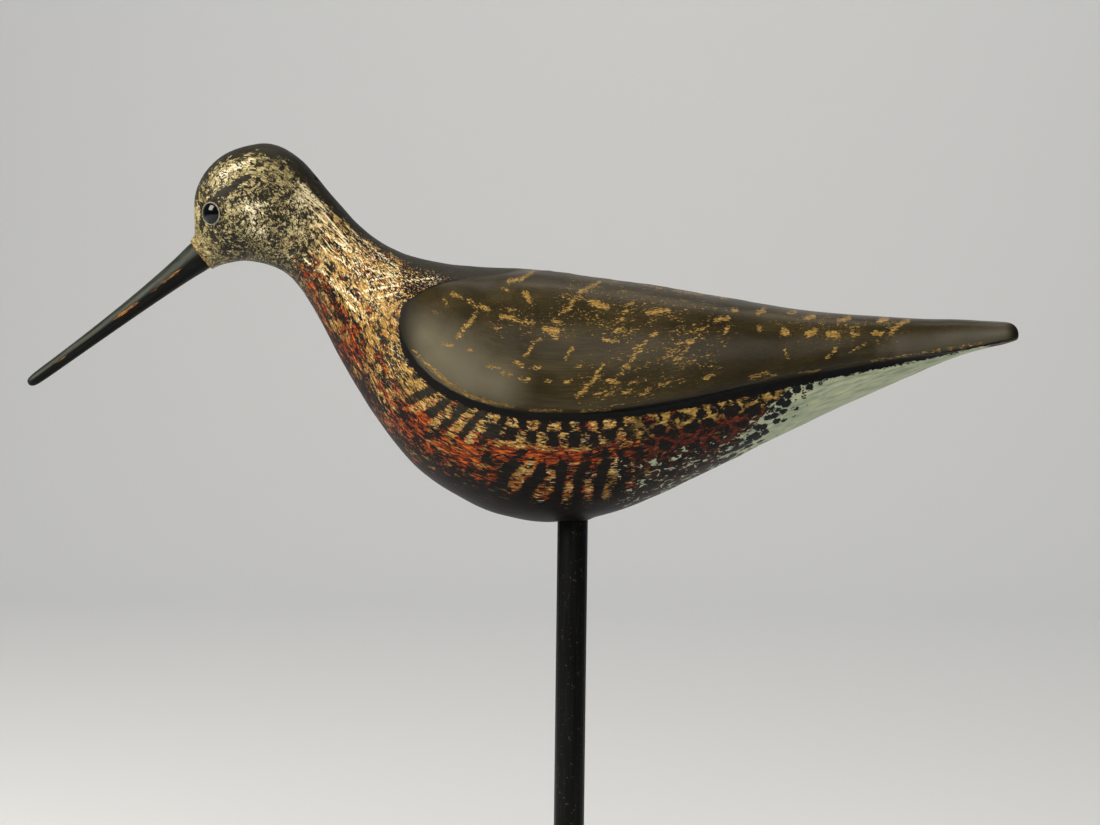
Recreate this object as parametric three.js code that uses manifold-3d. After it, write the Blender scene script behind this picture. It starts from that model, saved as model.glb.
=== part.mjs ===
// A carved and painted wooden shorebird decoy on its display stand.
// The head, neck, body, wings and tail are one carving. The bill is a separate tapered stick let into
// the face, the two eyes are glass buttons set in shallow seats, and a dowel carries the bird over a
// round wooden foot. Millimetres, +Z up. The bird faces -X, and its left side faces -Y.
// The origin is on the dowel's axis, at the underside of the foot.
import * as THREE from "three";
import { mergeVertices } from "three/addons/utils/BufferGeometryUtils.js";
import Module from "manifold-3d";

// Driving dimensions
const BIRD_LENGTH = 256; // face to tail tip, without the bill
const BILL_LENGTH = 66.5; // the stretch that shows, face to tip
const BILL_ROOT_DIAMETER = 10;
const BILL_SEAT_DEPTH = 7;
const BILL_DROOP_DEG = 38.6; // below the horizontal, where the bill leaves the face
const BILL_BOW = 1.5; // how far the bill's tip curves up from that line
const EYE_DIAMETER = 6.5;
const EYE_DOME = 1.3;
const EYE_SEAT_DEPTH = 2;
const WING_LIFT = 2.2; // how far a wing's lower edge stands out from the flank
const SHOULDER_STEP = 1; // the same at its upper edge, along the back
const FRONT_STEP = 0.4; // and on its upper front, where it grows softly out of the neck
const GROOVE_DEPTH = 1.2; // cut into the flank under the wing
const GROOVE_WIDTH = 3.2;
const DOWEL_DIAMETER = 9.5;
const DOWEL_SHOWING = 150; // between the foot and the belly
const BIRD_SEAT_DEPTH = 22;
const FOOT_SEAT_DEPTH = 13;
const FOOT_DIAMETER = 128;
const FOOT_THICKNESS = 21;
const FOOT_ROUNDING = 6; // the quarter round at its upper edge
const FOOT_BEVEL = 1.5; // the small bevel at its lower edge
const SEAT_GAP = 0.3; // clearance between a seat and what sits in it

// The bird's form, in hundredths of its length. The first figure of each pair runs from the face (0)
// to the tail tip (100); heights are over the belly where the dowel enters.
const PERCENT = BIRD_LENGTH / 100;
const DOWEL_AT = 46.4;
const BACK_LINE = [
  [0, 45.5], [7.9, 45.5], [9.7, 45.35], [11.4, 44.6], [13.7, 42.8], [16, 40.1], [18.4, 37.3], [20.7, 35.1],
  [23, 33.5], [25.4, 32.4], [28, 31.6], [32.4, 30.95], [37, 30.65], [41.7, 30.55], [46.4, 29.8],
  [55.7, 28.6], [65.1, 27.05], [72.1, 25.9], [79.1, 25.1], [86.1, 24.85], [93.1, 25.05], [100, 24.8],
];
const KEEL_LINE = [
  [0, 30.2], [2.4, 30.4], [5.5, 31.1], [8.3, 30.9], [11.4, 29.6], [13.7, 27.1], [16, 23], [18.4, 18.5],
  [20.7, 14.7], [23, 11.2], [25.4, 8.2], [27.7, 5.85], [32.4, 2.7], [37, 0.65], [41.7, -0.25], [46.4, 0],
  [51.1, 0.9], [55.7, 2.75], [65.1, 7.35], [74.4, 12.15], [83.8, 16.6], [93.1, 20.7], [100, 22.5],
];
const HALF_WIDTHS = [
  [0, 5.9], [8.5, 5.9], [11.5, 5.4], [15, 4.9], [18.4, 5.9], [20.7, 7.1], [23, 8.45], [25.4, 9.6],
  [28, 10.5], [32.4, 11.6], [37, 12.2], [43, 12.5], [50, 12.4], [58, 11.7], [65.1, 10.6], [72.1, 9.2],
  [79.1, 7.7], [86.1, 6.1], [93.1, 4.8], [100, 4.1],
];
const WIDEST_HEIGHTS = [
  [0, 38], [5.5, 38], [9, 37.6], [11.4, 36.6], [13.7, 34.3], [16, 31.1], [18.4, 28], [20.7, 25.3],
  [23, 23], [27.7, 19.8], [32.4, 18], [41.7, 16.4], [46.4, 16.2], [55.7, 16.5], [65.1, 17.6],
  [72.1, 18.8], [79.1, 19.9], [86.1, 20.7], [93.1, 21.7], [100, 23.1],
];
const WING_LOWER_EDGE = [
  [25, 13.9], [42.2, 13.9], [47, 13.9], [51, 14.1], [54.3, 14.5], [58, 15.1], [62.3, 16.1],
  [66.5, 17.1], [70.2, 18], [75.4, 19.1], [80.5, 19.95], [90.5, 21.1], [95.2, 21.9], [100, 22.9],
];
// The power of the upper half of a section: 2 is an oval, and more is squarer
const SQUARENESS = [[0, 2.05], [60, 2.05], [76, 2.4], [88, 2.9], [100, 3.1]];

// How each end of the form rounds off: the length of the rounding, as above, and its power
const CROWN_ROUNDING = { length: 9.2, power: 2 };
const CHIN_ROUNDING = { length: 2.5, power: 3 };
const FACE_ROUNDING = { length: 6.2, power: 2 };
const TAIL_ROUNDING = { length: 1.5, power: 2.3 };
const WING_NOSE = { at: 25.7, height: 23.8 };
const WING_LOWER_ROUNDING = { length: 16.5, power: 1.65 };
const WING_UPPER_ROUNDING = { length: 5.5, power: 1.75 };

// The wings' upper edges run up to the back and then along it, at these angles from its ridge
const WING_UPPER_EDGE_DEG = [[26, 35], [30.5, 34], [34, 30], [37, 24.5], [40, 16.5], [42.5, 9.5], [45, 7]];
const SPLIT_FADES = [84, 92]; // the split between the wings runs out on the tail
const STEP_GROWS = [36, 45]; // the soft front step grows to the full shoulder step over this stretch
const GROOVE_FADES = [93, 98.5]; // the groove under the wings runs out where the belly meets the tail
const LIFT_FADES = [80, 98]; // the wings sink into the tail, down to this share of their lift
const LIFT_LEFT = 0.3;
const WING_SWELL = 0.9; // how far a wing's face bulges between its edges, in mm
const LIP_ROUNDING = 0.7; // how far a wing's lower edge is rounded back, in mm
const NOSE_LIFT_LENGTH = 2.6; // a wing reaches its full lift this far behind its nose, in mm
const NOSE_GAP_DEG = 3; // half the angle that the wing's band of faces keeps at its nose
const NECK_GAP_DEG = 45; // and far in front of it, on the neck and head
const NECK_SPREAD = 12; // hundredths of the length over which it opens
const GROOVE_PROFILE = [[0.22, 1], [0.6, 0.55]]; // shares across the groove, and of its depth there
const GROOVE_MOST = 0.35; // the groove takes no more than this share of the flank under it
const TAIL_END_WIDTH = 0.45; // share of the tail's width that is left at its very tip

// The eye and the bill's root in the side view, as above
const EYE_PLACE = { at: 2.6, height: 36.7 };
const BILL_PLACE = { at: 0.65, height: 31.6 };

// Fineness of the carving's faces
const MANTLE_SHARES = [0, 0.18, 0.36, 0.54, 0.72, 0.9];
const WING_SHARES = [0, 0.12, 0.25, 0.38, 0.51, 0.64, 0.77, 0.89, 0.97, 1];
const BELLY_STEPS = 7;
const FACE_STEPS = 8;
const NECK_STEPS = 13;
const NOSE_STEPS = 16; // behind the wings' noses, where the wings open fast
const NOSE_REACH = 6; // hundredths of the length that those take
const BODY_STEPS = 26;
const TAIL_END_SHARES = [0.45, 0.75, 0.93]; // of the rounding at the tail's tip
const CYLINDER_SIDES = 40;
const FOOT_SIDES = 52;
const EYE_SIDES = 24;
const BILL_SIDES = 20;

// Forms
const radians = THREE.MathUtils.degToRad;
const smooth = THREE.MathUtils.smoothstep;
const lerp = THREE.MathUtils.lerp;
const NUDGE = 0.01; // radians, a small turn round a section

/** A smooth curve through pairs of [place, value]; beyond its ends it keeps the end values. */
function curveThrough(pairs) {
  const places = pairs.map(([place]) => place);
  const values = pairs.map(([, value]) => value);
  const spline = new THREE.CubicInterpolant(places, values, 1);
  const clamp = (at) => THREE.MathUtils.clamp(at, places[0], places.at(-1));
  return (at) => spline.evaluate(clamp(at))[0];
}

/** Rises from 0 to 1 over a rounding's length, as the quarter of an ellipse does. */
function rounded(distance, { length, power }) {
  const share = THREE.MathUtils.clamp(distance / length, 0, 1);
  return (1 - (1 - share) ** power) ** (1 / power);
}

const backLine = curveThrough(BACK_LINE);
const keelLine = curveThrough(KEEL_LINE);
const halfWidth = curveThrough(HALF_WIDTHS);
const widestHeight = curveThrough(WIDEST_HEIGHTS);
const wingLowerEdge = curveThrough(WING_LOWER_EDGE);
const wingUpperEdge = curveThrough(WING_UPPER_EDGE_DEG);
const squareness = curveThrough(SQUARENESS);

/** The upright oval that the form has at one place along it, in millimetres. */
function sectionAt(at) {
  const tail = rounded(100 - at, TAIL_ROUNDING);
  const middle = widestHeight(at);
  const rise = (backLine(at) - middle) * rounded(at, CROWN_ROUNDING) * tail;
  const drop = (middle - keelLine(at)) * rounded(at, CHIN_ROUNDING) * tail;
  const half = halfWidth(at) * rounded(at, FACE_ROUNDING) * lerp(TAIL_END_WIDTH, 1, tail);
  return {
    x: (at - DOWEL_AT) * PERCENT,
    middle: middle * PERCENT,
    rise: rise * PERCENT,
    drop: drop * PERCENT,
    half: half * PERCENT,
    power: squareness(at),
  };
}

/** A point on the plain oval, at an angle from its top: y outwards and z up. */
function ovalPoint(section, angle) {
  const power = angle < Math.PI / 2 ? section.power : 2;
  const reach = angle < Math.PI / 2 ? section.rise : section.drop;
  const c = Math.cos(angle);
  const s = Math.max(Math.sin(angle), 0);
  const stretch = (Math.abs(c) ** power + s ** power) ** (-1 / power);
  return new THREE.Vector2(section.half * s * stretch, section.middle + reach * c * stretch);
}

/** The same point moved out along the oval's own normal, in millimetres. */
function carvedPoint(section, angle, lift) {
  const before = ovalPoint(section, Math.max(angle - NUDGE, 0));
  const after = ovalPoint(section, Math.min(angle + NUDGE, Math.PI));
  const along = after.sub(before).normalize();
  const point = ovalPoint(section, angle);
  point.x = Math.max(point.x + lift * -along.y, 0);
  point.y += lift * along.x;
  return point;
}

/** The angle from the top at which the oval passes a height over the belly, in millimetres. */
function angleAtHeight(section, height) {
  const upper = height > section.middle;
  const reach = upper ? section.rise : section.drop;
  const power = upper ? section.power : 2;
  const share = THREE.MathUtils.clamp(Math.abs(height - section.middle) / reach, 0, 0.999);
  const tangent = ((1 - share ** power) / share ** power) ** (1 / power);
  return upper ? Math.atan(tangent) : Math.PI - Math.atan(tangent);
}

/** The angles of a wing's upper and lower edge at one place, and how far the wing stands out there. */
function wingAt(at, section) {
  const noseSection = sectionAt(WING_NOSE.at);
  const nose = angleAtHeight(noseSection, WING_NOSE.height * PERCENT);
  const behind = at - WING_NOSE.at;
  const openBelow = rounded(Math.max(behind, 0), WING_LOWER_ROUNDING);
  const openAbove = rounded(Math.max(behind, 0), WING_UPPER_ROUNDING);
  const edgeHeight = lerp(WING_NOSE.height, wingLowerEdge(at), openBelow);
  const gap = radians(lerp(NOSE_GAP_DEG, NECK_GAP_DEG, smooth(-behind, 0, NECK_SPREAD)));
  const upper = lerp(nose, radians(wingUpperEdge(at)), openAbove);
  const lower = behind > 0 ? angleAtHeight(section, edgeHeight * PERCENT) : nose;
  return {
    upper: upper - gap * (1 - openAbove),
    lower: lower + gap * (1 - openBelow),
    lift: rounded(Math.max(behind, 0) * PERCENT, { length: NOSE_LIFT_LENGTH, power: 2 }),
  };
}

/** Half of the carved outline at one place, from the ridge of the back down to the keel. */
function halfOutline(at) {
  const section = sectionAt(at);
  const wing = wingAt(at, section);
  const tailward = lerp(1, LIFT_LEFT, smooth(at, ...LIFT_FADES));
  const stepNow = lerp(FRONT_STEP, SHOULDER_STEP, smooth(at, ...STEP_GROWS));
  const step = stepNow * wing.lift * (1 - smooth(at, ...SPLIT_FADES));
  const edge = WING_LIFT * wing.lift * tailward;
  const groove = GROOVE_DEPTH * wing.lift * (1 - smooth(at, ...GROOVE_FADES));
  const nudged = ovalPoint(section, wing.lower + NUDGE);
  const reachPerRadian = ovalPoint(section, wing.lower).distanceTo(nudged) / NUDGE;
  const grooveAngle = Math.min(GROOVE_WIDTH / reachPerRadian, (Math.PI - wing.lower) * GROOVE_MOST);
  const points = MANTLE_SHARES.map((share) => carvedPoint(section, wing.upper * share, 0));
  for (const share of WING_SHARES) {
    const swell = WING_SWELL * wing.lift * tailward * Math.sin(Math.PI * share);
    const lip = share === 1 ? LIP_ROUNDING * wing.lift * tailward : 0;
    const lift = lerp(step, edge, share) + swell - lip;
    points.push(carvedPoint(section, lerp(wing.upper, wing.lower, share), lift));
  }
  for (const [across, depth] of GROOVE_PROFILE) {
    points.push(carvedPoint(section, wing.lower + grooveAngle * across, -groove * depth));
  }
  const shoulder = wing.lower + grooveAngle;
  for (let i = 0; i <= BELLY_STEPS; i++) {
    const angle = lerp(shoulder, Math.PI, i / BELLY_STEPS);
    points.push(carvedPoint(section, angle, 0));
  }
  return points.map((p) => new THREE.Vector3(section.x, p.x, p.y));
}

/** The places at which the form is cut into sections, closest where it turns fastest. */
function sectionPlaces() {
  const places = [];
  const [firstTurnDeg, lastTurnDeg] = [8, 78]; // round the face's quarter, from its front to the crown
  for (let i = 0; i < FACE_STEPS; i++) {
    const turn = radians(lerp(firstTurnDeg, lastTurnDeg, i / (FACE_STEPS - 1)));
    places.push(CROWN_ROUNDING.length * (1 - Math.cos(turn)));
  }
  const beforeNose = WING_NOSE.at - 0.15;
  const behindNose = WING_NOSE.at + 0.05;
  const crownEnd = places.at(-1);
  for (let i = 1; i <= NECK_STEPS; i++) {
    places.push(lerp(crownEnd, beforeNose, i / NECK_STEPS));
  }
  for (let i = 0; i <= NOSE_STEPS; i++) {
    places.push(behindNose + NOSE_REACH * (i / NOSE_STEPS) ** 2);
  }
  const tailStart = 100 - TAIL_ROUNDING.length;
  for (let i = 1; i <= BODY_STEPS; i++) {
    places.push(lerp(behindNose + NOSE_REACH, tailStart, i / BODY_STEPS));
  }
  for (const share of TAIL_END_SHARES) {
    places.push(tailStart + TAIL_ROUNDING.length * share);
  }
  return places;
}

/** Joins the sections into one closed skin, with a fan of faces over each end. */
function birdForm() {
  const rings = sectionPlaces().map((at) => {
    const half = halfOutline(at);
    const mirrored = half.slice(1, -1).reverse().map((p) => new THREE.Vector3(p.x, -p.y, p.z));
    return [...half, ...mirrored];
  });
  const count = rings[0].length;
  const vertices = rings.flat();
  const faces = [];
  for (let r = 0; r + 1 < rings.length; r++) {
    for (let i = 0; i < count; i++) {
      const next = (i + 1) % count;
      const [a, b] = [r * count + i, r * count + next];
      const [c, d] = [a + count, b + count];
      const slash = vertices[b].distanceTo(vertices[c]) <= vertices[a].distanceTo(vertices[d]);
      faces.push(...(slash ? [a, c, b, b, c, d] : [a, c, d, a, d, b]));
    }
  }
  const endRings = [[0, rings[0], true], [(rings.length - 1) * count, rings.at(-1), false]];
  for (const [start, ring, front] of endRings) {
    const centre = ring.reduce((sum, p) => sum.add(p), new THREE.Vector3()).divideScalar(count);
    vertices.push(centre);
    const middle = vertices.length - 1;
    for (let i = 0; i < count; i++) {
      const [a, b] = [start + i, start + ((i + 1) % count)];
      faces.push(...(front ? [a, b, middle] : [b, a, middle]));
    }
  }
  const geometry = new THREE.BufferGeometry().setFromPoints(vertices);
  geometry.setIndex(faces);
  return geometry;
}

/** A closed turned shape about Z, from pairs of [radius, height] that start and end on the axis. */
function turned(profile, sides = CYLINDER_SIDES) {
  const points = profile.map(([radius, height]) => new THREE.Vector2(radius, height));
  return new THREE.LatheGeometry(points, sides).rotateX(Math.PI / 2);
}

/** Points of a quarter circle, as pairs of [radius, height], about a centre. */
function quarterRound(radius, centreRadius, centreHeight, steps = 4) {
  return Array.from({ length: steps + 1 }, (_, i) => {
    const turn = (Math.PI / 2) * (i / steps);
    return [centreRadius + radius * Math.cos(turn), centreHeight + radius * Math.sin(turn)];
  });
}

// Seats are cut with solids that are wider and deeper than their piece by the gap
const wasm = await Module();
wasm.setup();

function solidOf(geometry) {
  const bare = geometry.clone();
  bare.deleteAttribute("normal");
  bare.deleteAttribute("uv");
  const merged = mergeVertices(bare, 1e-4);
  const triVerts = new Uint32Array(merged.index.array);
  return new wasm.Manifold(
    new wasm.Mesh({ numProp: 3, vertProperties: merged.attributes.position.array, triVerts }),
  );
}

function geometryOf(solid) {
  const { vertProperties, triVerts } = solid.getMesh();
  const geometry = new THREE.BufferGeometry();
  geometry.setAttribute("position", new THREE.BufferAttribute(new Float32Array(vertProperties), 3));
  geometry.setIndex(new THREE.BufferAttribute(new Uint32Array(triVerts), 1));
  return geometry;
}

/** A geometry with a round blind hole for each seat: its solid is turned from local +Z and moved. */
function withSeats(geometry, seats) {
  let solid = solidOf(geometry);
  for (const { radius, depth, mouth, frame } of seats) {
    const cutter = turned([[0, -depth], [radius, -depth], [radius, mouth], [0, mouth]]);
    solid = solid.subtract(solidOf(cutter.applyMatrix4(frame)));
  }
  return geometryOf(solid);
}

/** The frame at a point whose local +Z looks along a direction. */
function frameLooking(point, direction) {
  const turn = new THREE.Quaternion().setFromUnitVectors(new THREE.Vector3(0, 0, 1), direction);
  return new THREE.Matrix4().compose(point, turn, new THREE.Vector3(1, 1, 1));
}

// Places that pieces share
function skinPoint(at, height) {
  const section = sectionAt(at);
  const { x: y, y: z } = ovalPoint(section, angleAtHeight(section, height * PERCENT));
  return new THREE.Vector3(section.x, y, z);
}

/** Where an eye sits on the face, and the way it looks; side is 1 for +Y and -1 for -Y. */
function eyeFrame(side) {
  const nudge = 0.2;
  const point = skinPoint(EYE_PLACE.at, EYE_PLACE.height);
  const along = skinPoint(EYE_PLACE.at + nudge, EYE_PLACE.height).sub(point);
  const up = skinPoint(EYE_PLACE.at, EYE_PLACE.height + nudge).sub(point);
  const out = up.cross(along).normalize();
  const mirror = new THREE.Vector3(1, side, 1);
  return frameLooking(point.multiply(mirror), out.multiply(mirror));
}

const billRoot = new THREE.Vector3((BILL_PLACE.at - DOWEL_AT) * PERCENT, 0, BILL_PLACE.height * PERCENT);
const billWay = new THREE.Vector3(-Math.cos(radians(BILL_DROOP_DEG)), 0, -Math.sin(radians(BILL_DROOP_DEG)));
const billFrame = frameLooking(billRoot, billWay);
const dowelFrame = new THREE.Matrix4().makeRotationX(Math.PI);
const bellyHeight = FOOT_THICKNESS + DOWEL_SHOWING;

// Pieces
function carvedBird() {
  const margin = 12; // a cutter stands this far out of the wood, so that its mouth is open
  const eyeMargin = 3;
  const seats = [
    {
      radius: DOWEL_DIAMETER / 2 + SEAT_GAP,
      depth: BIRD_SEAT_DEPTH + SEAT_GAP,
      mouth: margin,
      frame: dowelFrame,
    },
    {
      radius: BILL_ROOT_DIAMETER / 2 + SEAT_GAP,
      depth: BILL_SEAT_DEPTH + SEAT_GAP,
      mouth: margin,
      frame: billFrame,
    },
  ];
  for (const side of [-1, 1]) {
    seats.push({
      radius: EYE_DIAMETER / 2 + SEAT_GAP,
      depth: EYE_SEAT_DEPTH + SEAT_GAP,
      mouth: eyeMargin,
      frame: eyeFrame(side),
    });
  }
  return withSeats(birdForm(), seats);
}

/** The bill: a whittled stick, thickest at the face, with a soft edge along each side. */
function bill() {
  const taper = [
    [0.0, 1.0], [0.06, 0.88], [0.13, 0.79], [0.3, 0.635], [0.48, 0.53], [0.66, 0.455], [0.83, 0.41],
    [0.955, 0.39], [0.985, 0.31], [0.997, 0.18],
  ];
  const root = BILL_ROOT_DIAMETER / 2;
  const profile = [[0, -BILL_SEAT_DEPTH], [root, -BILL_SEAT_DEPTH]];
  for (const [share, width] of taper) {
    profile.push([root * width, BILL_LENGTH * share]);
  }
  profile.push([0, BILL_LENGTH]);
  const geometry = turned(profile, BILL_SIDES);
  const edgePower = 1.75; // under 2, so that the round section gets its side edges
  const edgeGrows = BILL_LENGTH / 10; // the stretch at the root over which they come
  const place = geometry.attributes.position;
  for (let i = 0; i < place.count; i++) {
    const [x, y, z] = [place.getX(i), place.getY(i), place.getZ(i)];
    const radius = Math.hypot(x, y);
    const whittled = smooth(z, 0, edgeGrows);
    const [c, s] = radius > 0 ? [Math.abs(x) / radius, Math.abs(y) / radius] : [1, 0];
    const squeeze = (c ** edgePower + s ** edgePower) ** (-1 / edgePower);
    const stretch = lerp(1, squeeze, whittled);
    const bow = BILL_BOW * Math.max(z / BILL_LENGTH, 0) ** 2;
    place.setXYZ(i, x * stretch + bow, y * stretch, z);
  }
  return geometry.applyMatrix4(billFrame);
}

function eye(side) {
  const radius = EYE_DIAMETER / 2;
  const steps = 6;
  const profile = [[0, -EYE_SEAT_DEPTH], [radius, -EYE_SEAT_DEPTH]];
  for (let i = 0; i < steps; i++) {
    const turn = (Math.PI / 2) * (i / steps);
    profile.push([radius * Math.cos(turn), EYE_DOME * Math.sin(turn)]);
  }
  profile.push([0, EYE_DOME]);
  return turned(profile, EYE_SIDES).applyMatrix4(eyeFrame(side));
}

function dowel() {
  const length = FOOT_SEAT_DEPTH + DOWEL_SHOWING + BIRD_SEAT_DEPTH;
  const geometry = new THREE.CylinderGeometry(DOWEL_DIAMETER / 2, DOWEL_DIAMETER / 2, length, CYLINDER_SIDES);
  geometry.rotateX(Math.PI / 2);
  return geometry.translate(0, 0, FOOT_THICKNESS - FOOT_SEAT_DEPTH + length / 2);
}

function foot() {
  const radius = FOOT_DIAMETER / 2;
  const profile = [
    [0, 0],
    [radius - FOOT_BEVEL, 0],
    [radius, FOOT_BEVEL],
    ...quarterRound(FOOT_ROUNDING, radius - FOOT_ROUNDING, FOOT_THICKNESS - FOOT_ROUNDING),
    [0, FOOT_THICKNESS],
  ];
  const top = new THREE.Matrix4().makeTranslation(0, 0, FOOT_THICKNESS);
  const seat = {
    radius: DOWEL_DIAMETER / 2 + SEAT_GAP,
    depth: FOOT_SEAT_DEPTH + SEAT_GAP,
    mouth: FOOT_THICKNESS,
    frame: top,
  };
  return withSeats(turned(profile, FOOT_SIDES), [seat]);
}

// The scene
const carvedWood = new THREE.MeshStandardMaterial({ color: 0x5b4a35, roughness: 0.45 });
const billWood = new THREE.MeshStandardMaterial({ color: 0x1c1d1a, roughness: 0.42 });
const blackGlass = new THREE.MeshStandardMaterial({ color: 0x050506, roughness: 0.05 });
const standWood = new THREE.MeshStandardMaterial({ color: 0x121312, roughness: 0.5 });

function piece(name, geometry, material) {
  const mesh = new THREE.Mesh(geometry, material);
  mesh.name = name;
  return mesh;
}

const bird = new THREE.Group();
bird.position.z = bellyHeight;
bird.add(piece("carved_bird", carvedBird(), carvedWood));
bird.add(piece("bill", bill(), billWood));
bird.add(piece("eye_left", eye(-1), blackGlass));
bird.add(piece("eye_right", eye(1), blackGlass));

const stand = new THREE.Group();
stand.add(piece("stand_dowel", dowel(), standWood));
stand.add(piece("stand_foot", foot(), standWood));

const decoy = new THREE.Group();
decoy.add(bird, stand);
export default decoy;
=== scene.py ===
# %% [markdown]
# # A shorebird decoy, carved, painted and worn
#
# The real thing is a wooden decoy of a long-billed shorebird. One block was carved into the head, body,
# wings and tail, a whittled stick was let into the face as a bill, and two glass eyes were set in putty.
# It was painted in oils, wet strokes over a dark ground, and its edges have been rubbed through by hands.
# It stands on a black dowel in a round foot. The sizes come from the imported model, which is loaded first.

import math

import bpy
import numpy as np
from mathutils import Matrix, Vector


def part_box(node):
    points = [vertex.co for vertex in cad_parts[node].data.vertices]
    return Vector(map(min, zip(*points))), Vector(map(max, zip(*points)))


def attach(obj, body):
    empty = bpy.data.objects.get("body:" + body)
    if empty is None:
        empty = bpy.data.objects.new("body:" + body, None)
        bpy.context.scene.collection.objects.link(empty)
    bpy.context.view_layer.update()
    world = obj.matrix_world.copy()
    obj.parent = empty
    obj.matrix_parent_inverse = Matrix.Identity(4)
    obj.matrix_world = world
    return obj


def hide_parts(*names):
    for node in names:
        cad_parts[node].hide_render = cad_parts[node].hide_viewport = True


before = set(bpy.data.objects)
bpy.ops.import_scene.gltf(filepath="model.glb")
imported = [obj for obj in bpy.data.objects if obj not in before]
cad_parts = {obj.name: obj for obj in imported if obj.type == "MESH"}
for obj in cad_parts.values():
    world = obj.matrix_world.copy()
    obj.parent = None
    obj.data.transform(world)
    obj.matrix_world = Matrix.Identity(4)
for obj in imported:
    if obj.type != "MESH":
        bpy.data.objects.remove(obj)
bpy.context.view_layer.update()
MM = 0.001

# %% [markdown]
# ## The camera comes first
#
# The paint is laid out on the side view, as a painter would do it, so the camera is needed before the
# paint. The dowel is 9.5 mm stock, 30.5 pixels wide in the photograph, which gives the size of a pixel
# at the dowel and so the lens. The dowel leans a little in the photograph: that is the camera's roll.

# %% The camera
PHOTO_SIZE = (1100, 825)
DOWEL_PIXELS = 30.5
CAMERA_TARGET = Vector((-7.5, 0, 204.7)) * MM
CAMERA_DISTANCE = 900 * MM
CAMERA_ELEVATION = math.radians(2.5)
CAMERA_ROLL = math.radians(0.7)
SENSOR_WIDTH = 36

dowel_low, dowel_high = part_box("stand_dowel")
PIXEL = (dowel_high.x - dowel_low.x) / DOWEL_PIXELS
forward = Vector((0, math.cos(CAMERA_ELEVATION), -math.sin(CAMERA_ELEVATION)))
level_right = Vector((1, 0, 0))
level_up = level_right.cross(forward)
camera_right = level_right * math.cos(CAMERA_ROLL) + level_up * math.sin(CAMERA_ROLL)
camera_up = camera_right.cross(forward)
camera_place = CAMERA_TARGET - forward * CAMERA_DISTANCE
turn = Matrix((camera_right, camera_up, -forward)).transposed()
bpy.ops.object.camera_add(location=camera_place, rotation=turn.to_euler())
camera = bpy.context.object
camera.data.sensor_width = SENSOR_WIDTH
camera.data.lens = SENSOR_WIDTH * CAMERA_DISTANCE / (PHOTO_SIZE[0] * PIXEL)
bpy.context.scene.camera = camera


def photo_place(points):
    """The photograph's pixels at which points lie, with both sides of the bird seen as the near one."""
    near = points * np.array([1, -1, 1])
    near[:, 1] = -np.abs(points[:, 1])
    away = near - np.array(camera_place)
    scale = CAMERA_DISTANCE / PIXEL / (away @ np.array(forward))
    across = away @ np.array(camera_right) * scale
    rise = away @ np.array(camera_up) * scale
    return np.stack([PHOTO_SIZE[0] / 2 + across, PHOTO_SIZE[1] / 2 - rise], axis=1)


print("lens", round(camera.data.lens, 1), "mm, pixel", round(PIXEL / MM, 4), "mm")

# %% [markdown]
# ## Two habits
#
# Operators act on whatever is selected, so a piece is always selected alone first. Modifiers are applied
# at once, so that what is measured and painted later is the mesh itself.

# %% Helpers for modelling
def alone(*pieces):
    """Selects some pieces and nothing else; the last one is the active one."""
    bpy.ops.object.select_all(action="DESELECT")
    for piece in pieces:
        piece.select_set(True)
        bpy.context.view_layer.objects.active = piece


def applied(piece, kind, **settings):
    """Adds a modifier to a piece, sets it and applies it."""
    alone(piece)
    modifier = piece.modifiers.new(kind.lower(), kind)
    for name, value in settings.items():
        setattr(modifier, name, value)
    bpy.ops.object.modifier_apply(modifier=modifier.name)


def settled(piece):
    """Puts a piece's place, turn and scale into its mesh."""
    alone(piece)
    bpy.ops.object.transform_apply(location=True, rotation=True, scale=True)


def copy_of_node(node, name):
    """A free copy of a CAD node's mesh, whose faces are joined up again."""
    piece = bpy.data.objects.new(name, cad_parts[node].data.copy())
    bpy.context.scene.collection.objects.link(piece)
    piece.data.materials.clear()
    alone(piece)
    bpy.ops.object.mode_set(mode="EDIT")
    bpy.ops.mesh.select_all(action="SELECT")
    bpy.ops.mesh.remove_doubles(threshold=0.001 * MM)
    bpy.ops.mesh.customdata_custom_splitnormals_clear()
    bpy.ops.mesh.tris_convert_to_quads(face_threshold=math.radians(60), shape_threshold=math.radians(60))
    bpy.ops.object.mode_set(mode="OBJECT")
    return piece


def crease_sharp(piece, over, crease):
    """Creases the edges that are sharper than an angle, so that subdivision keeps them."""
    alone(piece)
    bpy.ops.object.mode_set(mode="EDIT")
    bpy.ops.mesh.select_mode(type="EDGE")
    bpy.ops.mesh.select_all(action="DESELECT")
    bpy.ops.mesh.edges_select_sharp(sharpness=over)
    bpy.ops.transform.edge_crease(value=crease)
    bpy.ops.object.mode_set(mode="OBJECT")


def vertex_places(piece):
    """A mesh's vertices as rows of numbers."""
    places = np.empty(len(piece.data.vertices) * 3)
    piece.data.vertices.foreach_get("co", places)
    return places.reshape(-1, 3)


def put_vertices(piece, places):
    piece.data.vertices.foreach_set("co", places.ravel())
    piece.data.update()


def put_values(piece, name, values):
    """Keeps one number, or one vector, for each vertex under a name that a material can read."""
    kind = "FLOAT_VECTOR" if values.ndim == 2 else "FLOAT"
    layer = piece.data.attributes.new(name, kind, "POINT")
    layer.data.foreach_set("vector" if values.ndim == 2 else "value", values.astype(np.float32).ravel())


SPUN_MERGE = 0.01 * MM  # points of a spun piece that are closer than this become one


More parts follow.
